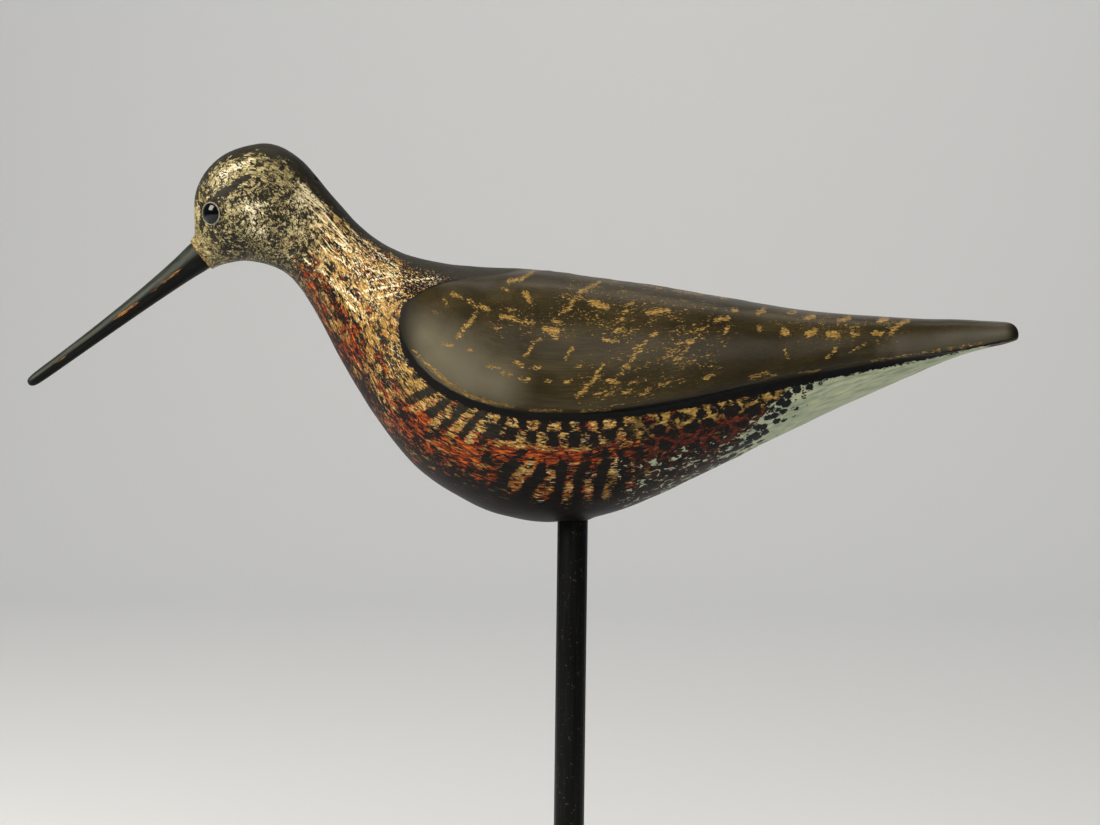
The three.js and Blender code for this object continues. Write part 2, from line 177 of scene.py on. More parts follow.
def spun(name, outline, steps):
    """Spins a section round the Z axis, from one end on the axis to the other, into a closed piece."""
    bpy.ops.mesh.primitive_plane_add(size=MM)
    piece = bpy.context.object
    piece.name = name
    bpy.ops.object.mode_set(mode="EDIT")
    bpy.ops.mesh.select_mode(type="VERT")
    bpy.ops.mesh.select_all(action="SELECT")
    bpy.ops.mesh.merge(type="CENTER")
    bpy.ops.transform.translate(value=(outline[0][0], 0, outline[0][1]))
    for (x0, z0), (x1, z1) in zip(outline, outline[1:]):
        bpy.ops.mesh.extrude_region_move(TRANSFORM_OT_translate={"value": (x1 - x0, 0, z1 - z0)})
    bpy.ops.mesh.select_all(action="SELECT")
    bpy.ops.mesh.spin(steps=steps, angle=2 * math.pi, center=(0, 0, 0), axis=(0, 0, 1))
    bpy.ops.mesh.select_all(action="SELECT")
    bpy.ops.mesh.remove_doubles(threshold=SPUN_MERGE)
    bpy.ops.mesh.normals_make_consistent(inside=False)
    bpy.ops.object.mode_set(mode="OBJECT")
    return piece


def triangles_in(piece):
    return sum(len(polygon.vertices) - 2 for polygon in piece.data.polygons)


def finished(piece, material, node):
    """Gives a piece its material and its place in the part."""
    piece.data.materials.append(material)
    alone(piece)
    bpy.ops.object.shade_smooth()
    if node:
        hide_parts(node)
    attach(piece, "root")
    print(piece.name, "has", triangles_in(piece), "triangles")


# %% Where the small pieces sit
BILL_DROOP = math.radians(38.6)  # below the horizontal, where the bill leaves the face
RIM_SHARE = 0.995  # of an eye's radius: beyond it, a point is on its rim
bill_way = Vector((-math.cos(BILL_DROOP), 0, -math.sin(BILL_DROOP)))


def node_places(node):
    return vertex_places(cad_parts[node])


def bill_root_end():
    """The middle of the bill's inner end, and its radius there."""
    places = node_places("bill")
    depth = places @ np.array(bill_way)
    end = places[depth < depth.min() + 0.01 * MM]
    middle = (end.min(axis=0) + end.max(axis=0)) / 2
    return Vector(middle), float(np.linalg.norm(end - middle, axis=1).max())


def eye_seat(node):
    """The middle of an eye's rim, the way it looks, its radius and how far its dome stands out."""
    places = np.unique(node_places(node).round(7), axis=0)
    middle = (places.min(axis=0) + places.max(axis=0)) / 2
    _, _, axes = np.linalg.svd(places - places.mean(axis=0))
    out = axes[2] * np.sign(axes[2][1] * middle[1])
    depth = (places - middle) @ out
    away = (places - middle) - depth[:, None] * out
    away -= (away.min(axis=0) + away.max(axis=0)) / 2
    radius = np.linalg.norm(away, axis=1)
    on_rim = radius > radius.max() * RIM_SHARE
    rim = depth[on_rim].max()
    centre = middle + out * rim
    in_its_plane = np.eye(3) - np.outer(out, out)
    centre += ((places - centre)[on_rim] @ in_its_plane).mean(axis=0)
    return Vector(centre), Vector(out), float(radius.max()), float(depth.max() - rim)


bill_end, bill_radius = bill_root_end()
eyes = {side: eye_seat("eye_" + side) for side in ("left", "right")}
print("the bill's root is", round(bill_radius * 2 / MM, 2), "mm thick")
_, _, eye_radius, eye_height = eyes["left"]
print("the eyes are", round(eye_radius * 2 / MM, 2), "mm wide and stand out", round(eye_height / MM, 2))

# %% [markdown]
# ## The carving
#
# The model's carving has flat faces. Its rows of faces follow the bird, so a subdivision surface rounds
# them as a rasp does, while creases keep the lip of the wings. The seats of the eyes, bill and dowel are
# filled with plugs, as glue and putty fill them. A fine voxel remesh then gives an even skin, close enough
# for the relief and for the painter's map, and a few passes of relaxing take off the voxels' steps.

# %% The carving's form
CREASE_OVER = math.radians(33)
LIP_CREASE = 0.75
SKIN_VOXEL = 0.78 * MM
RELAX_PASSES = 6
RELAX_SHARE = 0.5
PLUG_ROOM = 0.6 * MM  # a plug is this much wider than its seat, so that it bites into the wood
SEAT_GAP = 0.3 * MM
PLUG_SIDES = 48
EYE_PLUG = (3 * MM, 0.6 * MM)  # from this far under the rim to this far under it
BILL_PLUG = (1 * MM, 6 * MM)  # from before the bill's inner end to beyond it
DOWEL_PLUG_OVER = 1 * MM
BELLY_LIFT = 0.7 * MM
BELLY_SKIN = 0.25 * MM


def plug(carving, base, tip, radius):
    """Fills a round seat with a plug that becomes part of the carving's mesh."""
    way = tip - base
    turn = way.to_track_quat("Z", "Y").to_euler()
    bpy.ops.mesh.primitive_cylinder_add(
        vertices=PLUG_SIDES, radius=radius + SEAT_GAP + PLUG_ROOM, depth=way.length,
        location=(base + tip) / 2, rotation=turn,
    )
    alone(bpy.context.object, carving)
    bpy.ops.object.join()


def relax(piece, passes, share):
    """Moves each vertex part of the way to the middle of its neighbours, a few times."""
    edges = np.empty(len(piece.data.edges) * 2, dtype=np.int64)
    piece.data.edges.foreach_get("vertices", edges)
    a, b = edges.reshape(-1, 2).T
    count = len(piece.data.vertices)
    neighbours = np.bincount(a, minlength=count) + np.bincount(b, minlength=count)
    places = vertex_places(piece)
    for _ in range(passes):
        middles = np.stack([
            np.bincount(a, places[b, axis], count) + np.bincount(b, places[a, axis], count)
            for axis in range(3)
        ], axis=1) / neighbours[:, None]
        places += (middles - places) * share
    put_vertices(piece, places)


carving = copy_of_node("carved_bird", "painted_carving")
crease_sharp(carving, CREASE_OVER, LIP_CREASE)
applied(carving, "SUBSURF", levels=2, render_levels=2)
for centre, out, radius, _ in eyes.values():
    plug(carving, centre - out * EYE_PLUG[0], centre - out * EYE_PLUG[1], radius)
plug(carving, bill_end - bill_way * BILL_PLUG[0], bill_end + bill_way * BILL_PLUG[1], bill_radius)
dowel_radius = (dowel_high.x - dowel_low.x) / 2
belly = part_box("carved_bird")[0].z + BELLY_LIFT
dowel_seat = Vector((0, 0, dowel_high.z + DOWEL_PLUG_OVER))
plug(carving, dowel_seat, Vector((0, 0, belly + BELLY_SKIN)), dowel_radius)
applied(carving, "REMESH", mode="VOXEL", voxel_size=SKIN_VOXEL, use_smooth_shade=True)
relax(carving, RELAX_PASSES, RELAX_SHARE)
print("the carving's skin has", triangles_in(carving), "triangles")

# %% [markdown]
# ## The knife's unevenness, and a chip
#
# A rasped and sanded surface is never quite true. A displacement of a fifth of a millimetre, in waves as
# wide as a thumb, makes the light run unevenly over it. The chip in the nape is a small dent.

# %% Unevenness
UNEVEN_WIDTH = 11 * MM
UNEVEN_HEIGHT = 0.45 * MM
CHIP_PLACE = Vector((-80.3, -3.4, 276.2)) * MM
CHIP_RADIUS = 1.7 * MM
CHIP_DEPTH = 0.7 * MM

waves = bpy.data.textures.new("uneven", "CLOUDS")
waves.noise_scale = UNEVEN_WIDTH
waves.noise_depth = 1
applied(carving, "DISPLACE", texture=waves, texture_coords="LOCAL", strength=UNEVEN_HEIGHT, mid_level=0.5)
normals = np.empty(len(carving.data.vertices) * 3)
carving.data.vertices.foreach_get("normal", normals)
places = vertex_places(carving)
from_chip = np.linalg.norm((places - np.array(CHIP_PLACE)) * np.array([1, 1, 1.4]), axis=1) / CHIP_RADIUS
places -= normals.reshape(-1, 3) * (np.clip(1 - from_chip, 0, 1) ** 0.7 * CHIP_DEPTH)[:, None]
put_vertices(carving, places)

# %% [markdown]
# ## The painter's map
#
# Where each paint goes is decided once, on the side view, and kept on the mesh as named values: how far a
# place is inside the dark cap, inside the wing or under its lip, and how thickly each colour was laid.
# The material reads these and breaks their edges up with brush marks, so they can stay smooth and few.

# %% Lines on the side view, in the photograph's pixels
CAP_LINE = [
    (186, 214), (192, 205), (196, 197), (200, 188), (208, 175), (216, 166), (231, 160), (244, 157),
    (255, 153), (270, 157), (285, 161), (291, 168), (297, 177), (307, 187), (318, 199), (330, 211),
    (345, 224), (360, 237), (380, 250), (402, 261), (424, 271), (446, 277), (520, 290), (600, 315),
    (1100, 345),
]
WING_LINE = [
    (1100, 180), (640, 225), (560, 254), (505, 271), (470, 276), (446, 281), (425, 289), (410, 299),
    (402, 309), (399, 321), (401, 335), (407, 349), (417, 364), (432, 379), (450, 391), (470, 401),
    (495, 409), (520, 414), (550, 417), (580, 417), (610, 414), (640, 409), (670, 403), (700, 397),
    (740, 388), (780, 380), (820, 372), (860, 365), (900, 358), (940, 352), (980, 345), (1020, 336),
]
LIP_START = 8  # the wing's lower lip begins at this point of its line
# How wide the black line under the lip is, in mm, at places along the photograph's width: black paint and
# painted shadow
LIP_SHADOW = [
    (395, 1.1), (402, 1.9), (432, 2.4), (470, 2), (500, 1.7), (560, 1.5), (620, 1.9), (680, 2.8),
    (740, 3.2), (800, 3), (884, 2.3), (940, 1.5), (981, 0.7), (1010, 0.3),
]
# How far inside its line the wing's umber stops, in mm: the lip's underside is black, partly paint and
# partly painted shade
LIP_EDGE = [(395, 0.3), (430, 0.5), (500, 0.9), (560, 1.3), (640, 1.1), (700, 0.6), (800, 0.2), (870, 0)]


def line_distance(places, line):
    """How far places are from a line of points, in pixels: positive below a line that runs to the right."""
    best = np.full(len(places), np.inf)
    signed = np.zeros(len(places))
    for (ax, ay), (bx, by) in zip(line, line[1:]):
        along = np.array([bx - ax, by - ay], dtype=float)
        reach = places - np.array([ax, ay])
        share = np.clip(reach @ along / (along @ along), 0, 1)
        away = reach - share[:, None] * along
        distance = np.hypot(away[:, 0], away[:, 1])
        side = along[0] * reach[:, 1] - along[1] * reach[:, 0]
        nearer = distance < best
        best = np.where(nearer, distance, best)
        signed = np.where(nearer, np.sign(side) * distance, signed)
    return signed


def mark_distance(places, marks):
    """How far places are inside the nearest of some marks, each a stroke from one point to another."""
    best = np.full(len(places), -np.inf)
    for ax, ay, bx, by, radius in marks:
        along = np.array([bx - ax, by - ay], dtype=float)
        reach = places - np.array([ax, ay])
        share = np.clip(reach @ along / (along @ along + 1e-9), 0, 1)
        away = reach - share[:, None] * along
        best = np.maximum(best, radius - np.hypot(away[:, 0], away[:, 1]))
    return best


def ramp(values, start, end):
    """0 before start and 1 after end, smoothly."""
    share = np.clip((values - start) / (end - start), 0, 1)
    return share * share * (3 - 2 * share)


def window(values, start, end, soft):
    """1 between start and end and 0 outside, with soft edges."""
    return ramp(values, start - soft, start + soft) * (1 - ramp(values, end - soft, end + soft))


# %% The far side's paint is laid out as the near side's, but not mark for mark
FAR_SHIFT = 7  # pixels
FAR_FROM = (1, 8)  # mm across the bird, over which the shift sets in
WANDER_WIDTH = 43  # pixels

places = vertex_places(carving)
sight = photo_place(places)
far = ramp(places[:, 1] / MM, *FAR_FROM)
wander = sight / WANDER_WIDTH
sight[:, 0] += far * FAR_SHIFT * np.sin(wander[:, 0] + 2 * np.sin(wander[:, 1]))
sight[:, 1] += far * FAR_SHIFT * 0.5 * np.sin(wander[:, 1] * 2 + wander[:, 0] * 1.3)
px, py = sight.T
pixel_mm = PIXEL / MM

# %% The bird's own flow: how far along it a place is, and how far across
SPINE = [
    (140, 216), (190, 210), (225, 206), (262, 204), (300, 223), (335, 262), (362, 310), (400, 362),
    (450, 400), (520, 422), (600, 424), (700, 404), (800, 378), (900, 354), (1060, 330),
]
CORNER_CUTS = 3
HEAD_ENDS = (292, 345)  # along the photograph's width


def rounded(line, times):
    """A line whose corners are cut off, again and again, until it runs smoothly."""
    points = np.array(line, dtype=float)
    for _ in range(times):
        before, after = points[:-1], points[1:]
        cuts = np.stack([before * 0.75 + after * 0.25, before * 0.25 + after * 0.75], axis=1)
        points = np.concatenate([points[:1], cuts.reshape(-1, 2), points[-1:]])
    return points


def flow_along(places, line):
    """How far along a line, and how far above it, places on the side view are, in mm."""
    best = np.full(len(places), np.inf)
    along, above = np.zeros(len(places)), np.zeros(len(places))
    gone = 0.0
    for start, end in zip(line, line[1:]):
        step = end - start
        length = np.hypot(*step)
        reach = places - start
        share = np.clip(reach @ step / length ** 2, 0, 1)
        distance = np.hypot(*(reach - share[:, None] * step).T)
        side = np.sign(reach[:, 0] * step[1] - reach[:, 1] * step[0])
        nearer = distance < best
        best = np.where(nearer, distance, best)
        along = np.where(nearer, gone + share * length, along)
        above = np.where(nearer, side * distance, above)
        gone += length
    return along * pixel_mm, above * pixel_mm


spine = rounded(SPINE, CORNER_CUTS)
along, across = flow_along(sight, spine)
put_values(carving, "flow", np.stack([along, across, places[:, 1] / MM], axis=1))
head = 1 - ramp(px, *HEAD_ENDS)
put_values(carving, "head", head)
print("the flow is", round(float(np.ptp(along))), "mm long")

# %% The dark cap, the wings, and the black line and painted shadow under their lips
WING_STARTS = (392, 402)  # along the photograph's width
LIP_BEGINS = (300, 330)  # down the wing's front
OFF = 4  # mm, more than the line is wide
cap = -line_distance(sight, CAP_LINE) * pixel_mm
wing = -line_distance(sight, WING_LINE) * pixel_mm
below_lip = line_distance(sight, WING_LINE[LIP_START:]) * pixel_mm
lip_width = np.interp(px, *zip(*LIP_SHADOW)) + np.minimum(wing, 0)
shadow = lip_width * ramp(py, *LIP_BEGINS) - OFF * (1 - ramp(px, *WING_STARTS))
put_values(carving, "cap", np.clip(cap, -20, 20))
put_values(carving, "wing", np.clip(wing - np.interp(px, *zip(*LIP_EDGE)), -20, 20))
put_values(carving, "lip_shadow", np.clip(np.where(wing < 0, shadow, 1), -3, 3))

# %% [markdown]
# ## How thickly each colour was laid
#
# On the face, neck and breast the paint was dabbed by eye, so its thickness is written down at places of
# the side view and spread smoothly between them. On the flank it makes rows of bars, 6 mm apart, which
# follow the lip of the wing, so there it is worked out from how far along and below the lip a place is.
# The rear flank has black scales in a thin net instead. Pale dabs low on it lead over to the rump.

# %% Notes on the face, neck and breast: x, y, then cream, rust and white
PAINT_NOTES = [
    (197, 195, 0.5, 0, 0.1), (206, 180, 0.55, 0, 0.3), (228, 170, 0.68, 0, 0.4),
    (246, 163, 0.68, 0, 0.35), (262, 160, 0.62, 0, 0.2), (276, 168, 0.68, 0, 0.02),
    (289, 180, 0.78, 0, 0.1), (283, 193, 0.5, 0, 0.05), (268, 196, 0.45, 0, 0.05),
    (240, 192, 0.62, 0, 0.2), (228, 205, 0.62, 0, 0.3), (250, 208, 0.65, 0, 0.8),
    (263, 206, 0.62, 0, 0.6), (276, 213, 0.45, 0, 0.1), (290, 205, 0.6, 0, 0.45),
    (303, 197, 0.65, 0, 0.8), (240, 221, 0.62, 0, 0.35), (258, 228, 0.62, 0, 0.45),
    (280, 226, 0.6, 0, 0.35), (222, 227, 0.5, 0, 0.1), (230, 243, 0.44, 0, 0.25),
    (248, 246, 0.48, 0, 0.25), (265, 246, 0.55, 0, 0.2), (285, 246, 0.62, 0.1, 0.25),
    (200, 242, 0.88, 0, 0.05), (209, 256, 0.86, 0, 0.05), (216, 264, 0.8, 0, 0.05),
    (195, 216, 0.85, 0, 0.3), (195, 231, 0.8, 0, 0.15), (238, 259, 0.5, 0, 0.05),
    (270, 262, 0.46, 0.05, 0.05), (300, 226, 0.6, 0.1, 0.4), (321, 215, 0.55, 0.1, 0.75),
    (315, 240, 0.6, 0.25, 0.5), (300, 256, 0.45, 0.35, 0.3), (306, 275, 0.4, 0.45, 0.2),
    (338, 238, 0.6, 0.2, 0.5), (330, 264, 0.66, 0.4, 0.6), (316, 290, 0.35, 0.6, 0.15),
    (345, 286, 0.7, 0.4, 0.62), (362, 262, 0.62, 0.35, 0.5), (386, 268, 0.6, 0.35, 0.5),
    (378, 290, 0.7, 0.35, 0.65), (364, 311, 0.7, 0.4, 0.6), (336, 312, 0.45, 0.6, 0.25),
    (350, 336, 0.35, 0.6, 0.2), (345, 356, 0.25, 0.6, 0.1), (377, 338, 0.62, 0.45, 0.35),
    (392, 330, 0.7, 0.4, 0.35), (398, 352, 0.76, 0.2, 0.5), (408, 372, 0.76, 0.2, 0.55),
    (370, 366, 0.42, 0.62, 0.35), (388, 394, 0.45, 0.62, 0.4), (364, 400, 0.1, 0.35, 0.1),
    (412, 398, 0.5, 0.65, 0.35), (402, 424, 0.25, 0.7, 0.2), (424, 442, 0.22, 0.6, 0.15),
    (425, 277, 0.45, 0.25, 0.3), (450, 284, 0.2, 0.1, 0.2), (395, 450, 0.05, 0.2, 0.05),
    (446, 444, 0.3, 0.78, 0.2), (464, 453, 0.22, 0.8, 0.15), (432, 462, 0.26, 0.35, 0.2),
    (410, 448, 0.28, 0.42, 0.2), (455, 474, 0.15, 0.35, 0.1), (480, 464, 0.25, 0.6, 0.15),
    (430, 482, 0.02, 0.1, 0), (482, 492, 0.08, 0.25, 0.05),
]
NOTE_SOFTNESS = 5  # pixels


def from_notes(places, notes):
    """Values at places, from the notes nearest to them."""
    spots = np.array(notes)
    reach = ((places[:, None, :] - spots[None, :, :2]) ** 2).sum(axis=2)
    weight = 1 / (reach + NOTE_SOFTNESS ** 2) ** 2
    return (weight @ spots[:, 2:] / weight.sum(axis=1, keepdims=True)).T


dabbed_cream, dabbed_rust, dabbed_white = from_notes(sight, PAINT_NOTES)

# %% The flank's rows of bars
BAR_PITCH = 6.05
BAR_PLACE = (533, 424)  # the middle of one of the pale squares
SQUARES_ROW = (1.3, 4.6)  # mm below the lip: a row of pale squares,
FRAMES_ROW = (4.7, 11.0)  # ochre frames round dark squares,
FRAMES_FOOT = 2.4  # closed below by a line this thick,
RUST_ROW = (9.6, 14.2)  # a band of rust,
LOWER_ROW = (13.0, 27.5)  # and long leaning bars
LOWER_LEAN = 0.25  # mm forward for each mm down
FRONT_LEAN = 0.42
FRONT_REACH = 13.0  # ahead, the squares and the frames are one row of long bars, down to here
# Where along the photograph's width the front bars end, the lower ones start, and some are paler
AHEAD_ENDS = (478, 512)
LOWER_STARTS = (465, 508)
PALE_BARS = (517, 606)
PALE_BARS_SOFT = 9
FRONT_ENDS = (560, 640)

bar_start, _ = flow_along(np.array([BAR_PLACE], dtype=float), spine)
wavering = 0.55 * np.sin(along / 7.1 + 1) + 0.35 * np.sin(along / 3.3 + across / 4)
ahead = 1 - ramp(px, *AHEAD_ENDS)
front_lean = ahead * FRONT_LEAN * (below_lip - SQUARES_ROW[0])
lower_lean = LOWER_LEAN * (below_lip - LOWER_ROW[0])
from_bar = along - bar_start[0] + wavering
turn_of_bars = 2 * math.pi * (from_bar + front_lean) / BAR_PITCH
leaning = 2 * math.pi * (from_bar + lower_lean + wavering) / BAR_PITCH
uneven = 0.5 + 0.5 * np.sin(along / 5.3 + 2 * np.sin(across / 6))
every_other = 0.5 + 0.5 * np.cos(leaning / 2 + 0.4)
squares = window(below_lip, *SQUARES_ROW, 0.5) * ramp(np.cos(turn_of_bars), -0.9, 0.05)
frames = window(below_lip, *FRAMES_ROW, 0.5) * ramp(-np.cos(turn_of_bars), -0.45, 0.3)
frames_foot = window(below_lip, FRAMES_ROW[1] - FRAMES_FOOT, FRAMES_ROW[1], 0.5)
frames = np.maximum(frames, frames_foot * 0.85)
long_bars = window(below_lip, SQUARES_ROW[0], FRONT_REACH, 1.6) * ramp(np.cos(turn_of_bars), -0.95, 0.45)
upper = ahead * long_bars + (1 - ahead) * np.maximum(squares, frames * 0.85)
rust_row = window(below_lip + wavering * 1.2, *RUST_ROW, 1.0)
lower = window(below_lip + wavering, *LOWER_ROW, 1.6) * ramp(np.cos(leaning), -0.7, 0.45)
lower *= 0.35 + 0.65 * ramp(px, *LOWER_STARTS)
pale_bars = lower * window(px, *PALE_BARS, PALE_BARS_SOFT)

# %% How thick the cream and the rust of the bars are
front = 1 - ramp(px, *FRONT_ENDS)
bar_cream = upper * (0.66 + 0.16 * uneven) + lower * (0.22 + 0.42 * every_other) * (0.55 + 0.45 * uneven)
bar_cream += pale_bars * 0.16
rust_above = upper * (0.42 + 0.2 * ahead * ramp(below_lip, 5, 9))
broken = (0.6 + 0.4 * uneven, 0.6 + 0.4 * ramp(np.cos(leaning), -0.8, 0))
rust_band = rust_row * (0.48 + 0.4 * front) * broken[0] * broken[1]
bar_rust = rust_above + rust_band + lower * (0.45 + 0.15 * front)

# %% The flank, the belly and the rear: where each starts and ends on the side view
FLANK_STARTS = (390, 432)
FLANK_TOP = (322, 358)
FLANK_LEAN = 0.3
FLANK_LEVEL = 380
BELLY_STARTS = (395, 440)
REAR_STARTS = (622, 668)
BREAST_TOP = (310, 345)
BREAST_ENDS = (440, 500)
# And how deep below the lip, or how far from the middle plane, in mm
FRONT_DEPTH = (11.5, 15.5)
BELLY_DEPTH = (22, 29)
BREAST_EDGE_SHADE = (4, 13)

flank = ramp(px + (py - FLANK_LEVEL) * FLANK_LEAN, *FLANK_STARTS) * ramp(py, *FLANK_TOP)
flank *= 1 - ahead * ramp(below_lip, *FRONT_DEPTH)
belly_dark = ramp(below_lip, *BELLY_DEPTH) * ramp(px, *BELLY_STARTS)
rear = ramp(px, *REAR_STARTS)
# Painted shade along the breast's front edge: cream and rust are thinned near the middle plane, so the dark
# ground shows
breast_edge_shade = 1 - ramp(np.abs(places[:, 1]) / MM, *BREAST_EDGE_SHADE)
breast_edge_shade = breast_edge_shade * ramp(py, *BREAST_TOP) * (1 - ramp(px, *BREAST_ENDS))
cream = dabbed_cream * (1 - flank) + flank * (bar_cream * (1 - rear) + rear * (0.07 + 0.5 * squares))
rust = dabbed_rust * (1 - flank) + flank * (bar_rust * (1 - rear) + rear * (0.05 + 0.3 * squares))
cream *= (1 - 0.75 * belly_dark) * (1 - 0.7 * breast_edge_shade)
rust *= (1 - 0.75 * belly_dark) * (1 - 0.5 * breast_edge_shade)
put_values(carving, "cream", np.clip(cream, 0, 1))
put_values(carving, "rust", np.clip(rust, 0, 1))
put_values(carving, "below_lip", np.clip(below_lip, -5, 40))

# %% The charcoal before the wing, a painted sheen, the scales of the rear flank and the rump
SHEEN_DEPTH = (7, 14)  # mm below the lip
SCALES_TOP = (1.5, 3)
SCALES_FADE = (13, 21)
DABS_DEPTH = (12, 16.5)
DABS_START = (600, 645)  # along the photograph's width
RUMP_STARTS = (745, 775)
RUMP_ENDS = (982, 1000)
SPOTS_END = (768, 812)
RUMP_LEAN = 0.95
RUMP_LEVEL = 420

# Before the wing, the charcoal ground is a painted sheen in the dark gaps between the bars
before_wing = ahead * (1 - ramp(below_lip, *SHEEN_DEPTH)) * ramp(py, *LIP_BEGINS)
put_values(carving, "charcoal_and_sheen", np.maximum(head, before_wing * 0.9))
scales = flank * rear * ramp(below_lip, *SCALES_TOP) * (1 - ramp(below_lip, *SCALES_FADE) * 0.6)
put_values(carving, "scales", scales)
toward_tail = px + (py - RUMP_LEVEL) * RUMP_LEAN
pale_dabs = 0.23 * ramp(px, *DABS_START) * ramp(below_lip, *DABS_DEPTH)
rump = np.maximum(ramp(toward_tail, *RUMP_STARTS), pale_dabs)
rump = rump * ramp(below_lip, 0, 1) * (1 - ramp(px, *RUMP_ENDS))
put_values(carving, "rump", rump)
put_values(carving, "rump_spots", 1 - ramp(toward_tail, *SPOTS_END))

# %% The eye's streak, the shadows of the cheek and the white flecks
EYE_STREAK = [
    (213, 201, 223, 193, 3.4), (223, 193, 237, 183, 3.8), (237, 183, 250, 175, 2.4),
    (202, 204, 202, 232, 2.2), (210, 232, 216, 240, 2.2),
]
CHEEK_SHADOWS = [
    (270, 193, 277, 203, 5), (264, 212, 266, 214, 3.5), (285, 218, 286, 220, 4), (236, 240, 250, 243, 4),
    (274, 240, 275, 241, 4), (296, 258, 299, 266, 4), (291, 193, 292, 196, 3), (222, 232, 224, 240, 3),
]
BREAST_SHADOWS = [
    (335, 292, 345, 318, 4), (360, 343, 369, 354, 4), (378, 402, 392, 414, 6), (404, 412, 416, 421, 4),
    (432, 427, 445, 434, 4), (395, 432, 404, 442, 5), (352, 366, 360, 380, 5), (326, 262, 330, 274, 3),
]
WHITE_PATCHES = [
    (218, 178, 232, 169, 2), (232, 168, 250, 164, 2.4), (253, 222, 253, 208, 1.2),
    (253, 206, 269, 205, 1.2), (250, 230, 262, 232, 1), (612, 470, 618, 458, 2.5),
    (632, 464, 641, 470, 2), (690, 463, 698, 455, 1.6), (668, 471, 680, 466, 1.2),
    (708, 458, 717, 452, 1.5), (724, 452, 733, 445, 1.6),
]
# Where thin strokes run along the neck and fan out over the shoulder, and the longest ones themselves
NECK_STROKES = [
    (298, 184, 330, 222, 6), (330, 222, 362, 252, 7), (336, 240, 400, 282, 12), (362, 270, 446, 283, 7),
]
LONG_STROKES = [
    (297, 181, 312, 196, 0.7), (312, 196, 327, 213, 0.8), (303, 184, 322, 205, 0.6),
    (304, 192, 316, 206, 0.6), (322, 211, 336, 227, 0.8), (310, 207, 328, 224, 0.7),
    (330, 224, 349, 241, 0.8), (318, 227, 336, 241, 0.7), (336, 241, 359, 258, 0.8),
    (347, 226, 368, 244, 0.5), (368, 244, 397, 268, 0.5), (340, 236, 362, 252, 0.5),
    (320, 245, 341, 260, 0.7), (341, 260, 360, 275, 0.8), (304, 259, 322, 272, 0.7),
    (322, 272, 343, 289, 0.9), (345, 289, 358, 303, 0.8), (358, 303, 366, 316, 0.7),
    (359, 293, 380, 288, 0.7), (380, 288, 401, 285, 0.7), (387, 287, 412, 281, 0.6),
    (412, 281, 438, 277, 0.6), (366, 281, 392, 276, 0.6), (352, 262, 380, 273, 0.7),
    (380, 273, 406, 277, 0.6), (330, 282, 346, 296, 0.9), (346, 300, 356, 314, 0.7),
    (372, 300, 396, 293, 0.6),
]
# The eye's dark streak, and painted shadows on the cheek and breast
eye_streak_and_shadows = ramp(mark_distance(sight, EYE_STREAK), -3, 2)
eye_streak_and_shadows = np.maximum(eye_streak_and_shadows, ramp(mark_distance(sight, CHEEK_SHADOWS), -5, 3) * 0.42)
eye_streak_and_shadows = np.maximum(eye_streak_and_shadows, ramp(mark_distance(sight, BREAST_SHADOWS), -7, 3) * 0.62)
white = dabbed_white * (1 - flank) + ramp(mark_distance(sight, WHITE_PATCHES), -3, 2) * 0.6
white = np.maximum(white, flank * (1 - rear) * np.maximum(upper * 0.45, pale_bars * 0.42))
put_values(carving, "eye_streak_and_shadows", eye_streak_and_shadows)
put_values(carving, "white", white)
put_values(carving, "neck_strokes", ramp(mark_distance(sight, NECK_STROKES), -8, 6))
put_values(carving, "long_strokes", np.clip(mark_distance(sight, LONG_STROKES) * pixel_mm, -4, 4))

# %% [markdown]
# ## Where hands have rubbed the wings
#
# The umber has worn through to an ochre ground: dabs on the shoulder, slanting ticks in rows along the
# feathers, a line just inside the lip and bigger spots towards the tail. Each is a short stroke.

# %% Worn marks: from x, y to x, y, and half their width, in the photograph's pixels
SHOULDER_MARKS = [
    (452, 294, 461, 297, 2), (444, 299, 447, 305, 1.4), (469, 300, 476, 307, 1.6),
    (481, 306, 488, 310, 2.4), (434, 311, 441, 316, 0.8), (476, 313, 472, 320, 1.8),
    (472, 320, 464, 328, 2.6), (464, 328, 458, 337, 2.2), (501, 317, 512, 318, 2.8),
    (512, 317, 517, 321, 2), (522, 322, 533, 323, 1.9), (552, 321, 560, 322, 1.6),
    (545, 329, 557, 331, 3.4), (552, 333, 556, 337, 2.2), (525, 293, 530, 300, 2.6),
    (502, 288, 508, 290, 1.2), (495, 325, 497, 330, 1.4), (506, 309, 516, 310, 1.2),
    (541, 338, 533, 344, 1.9), (533, 344, 526, 355, 1.7), (443, 343, 452, 346, 1.7),
    (466, 349, 472, 350, 1.2), (488, 366, 499, 368, 1.6), (516, 362, 521, 366, 2.2),
    (503, 373, 511, 375, 2.2), (532, 368, 541, 368, 1.7), (519, 379, 528, 380, 1.8),
    (545, 380, 551, 381, 1.2), (572, 348, 566, 358, 1.8), (575, 298, 568, 309, 2.2),
    (592, 302, 606, 307, 3.6), (564, 382, 572, 381, 1.6), (596, 378, 584, 390, 2.4),
    (584, 390, 576, 397, 1.8), (604, 339, 618, 342, 2.2), (596, 315, 600, 320, 1.6),
    (603, 365, 596, 373, 1.8), (608, 380, 617, 383, 2.4), (509, 281, 521, 279, 2.2),
    (521, 279, 533, 271, 1.6), (579, 292, 600, 282, 2), (616, 331, 622, 329, 2.6),
    (582, 366, 576, 367, 1.2), (635, 300, 625, 307, 1.2),
]
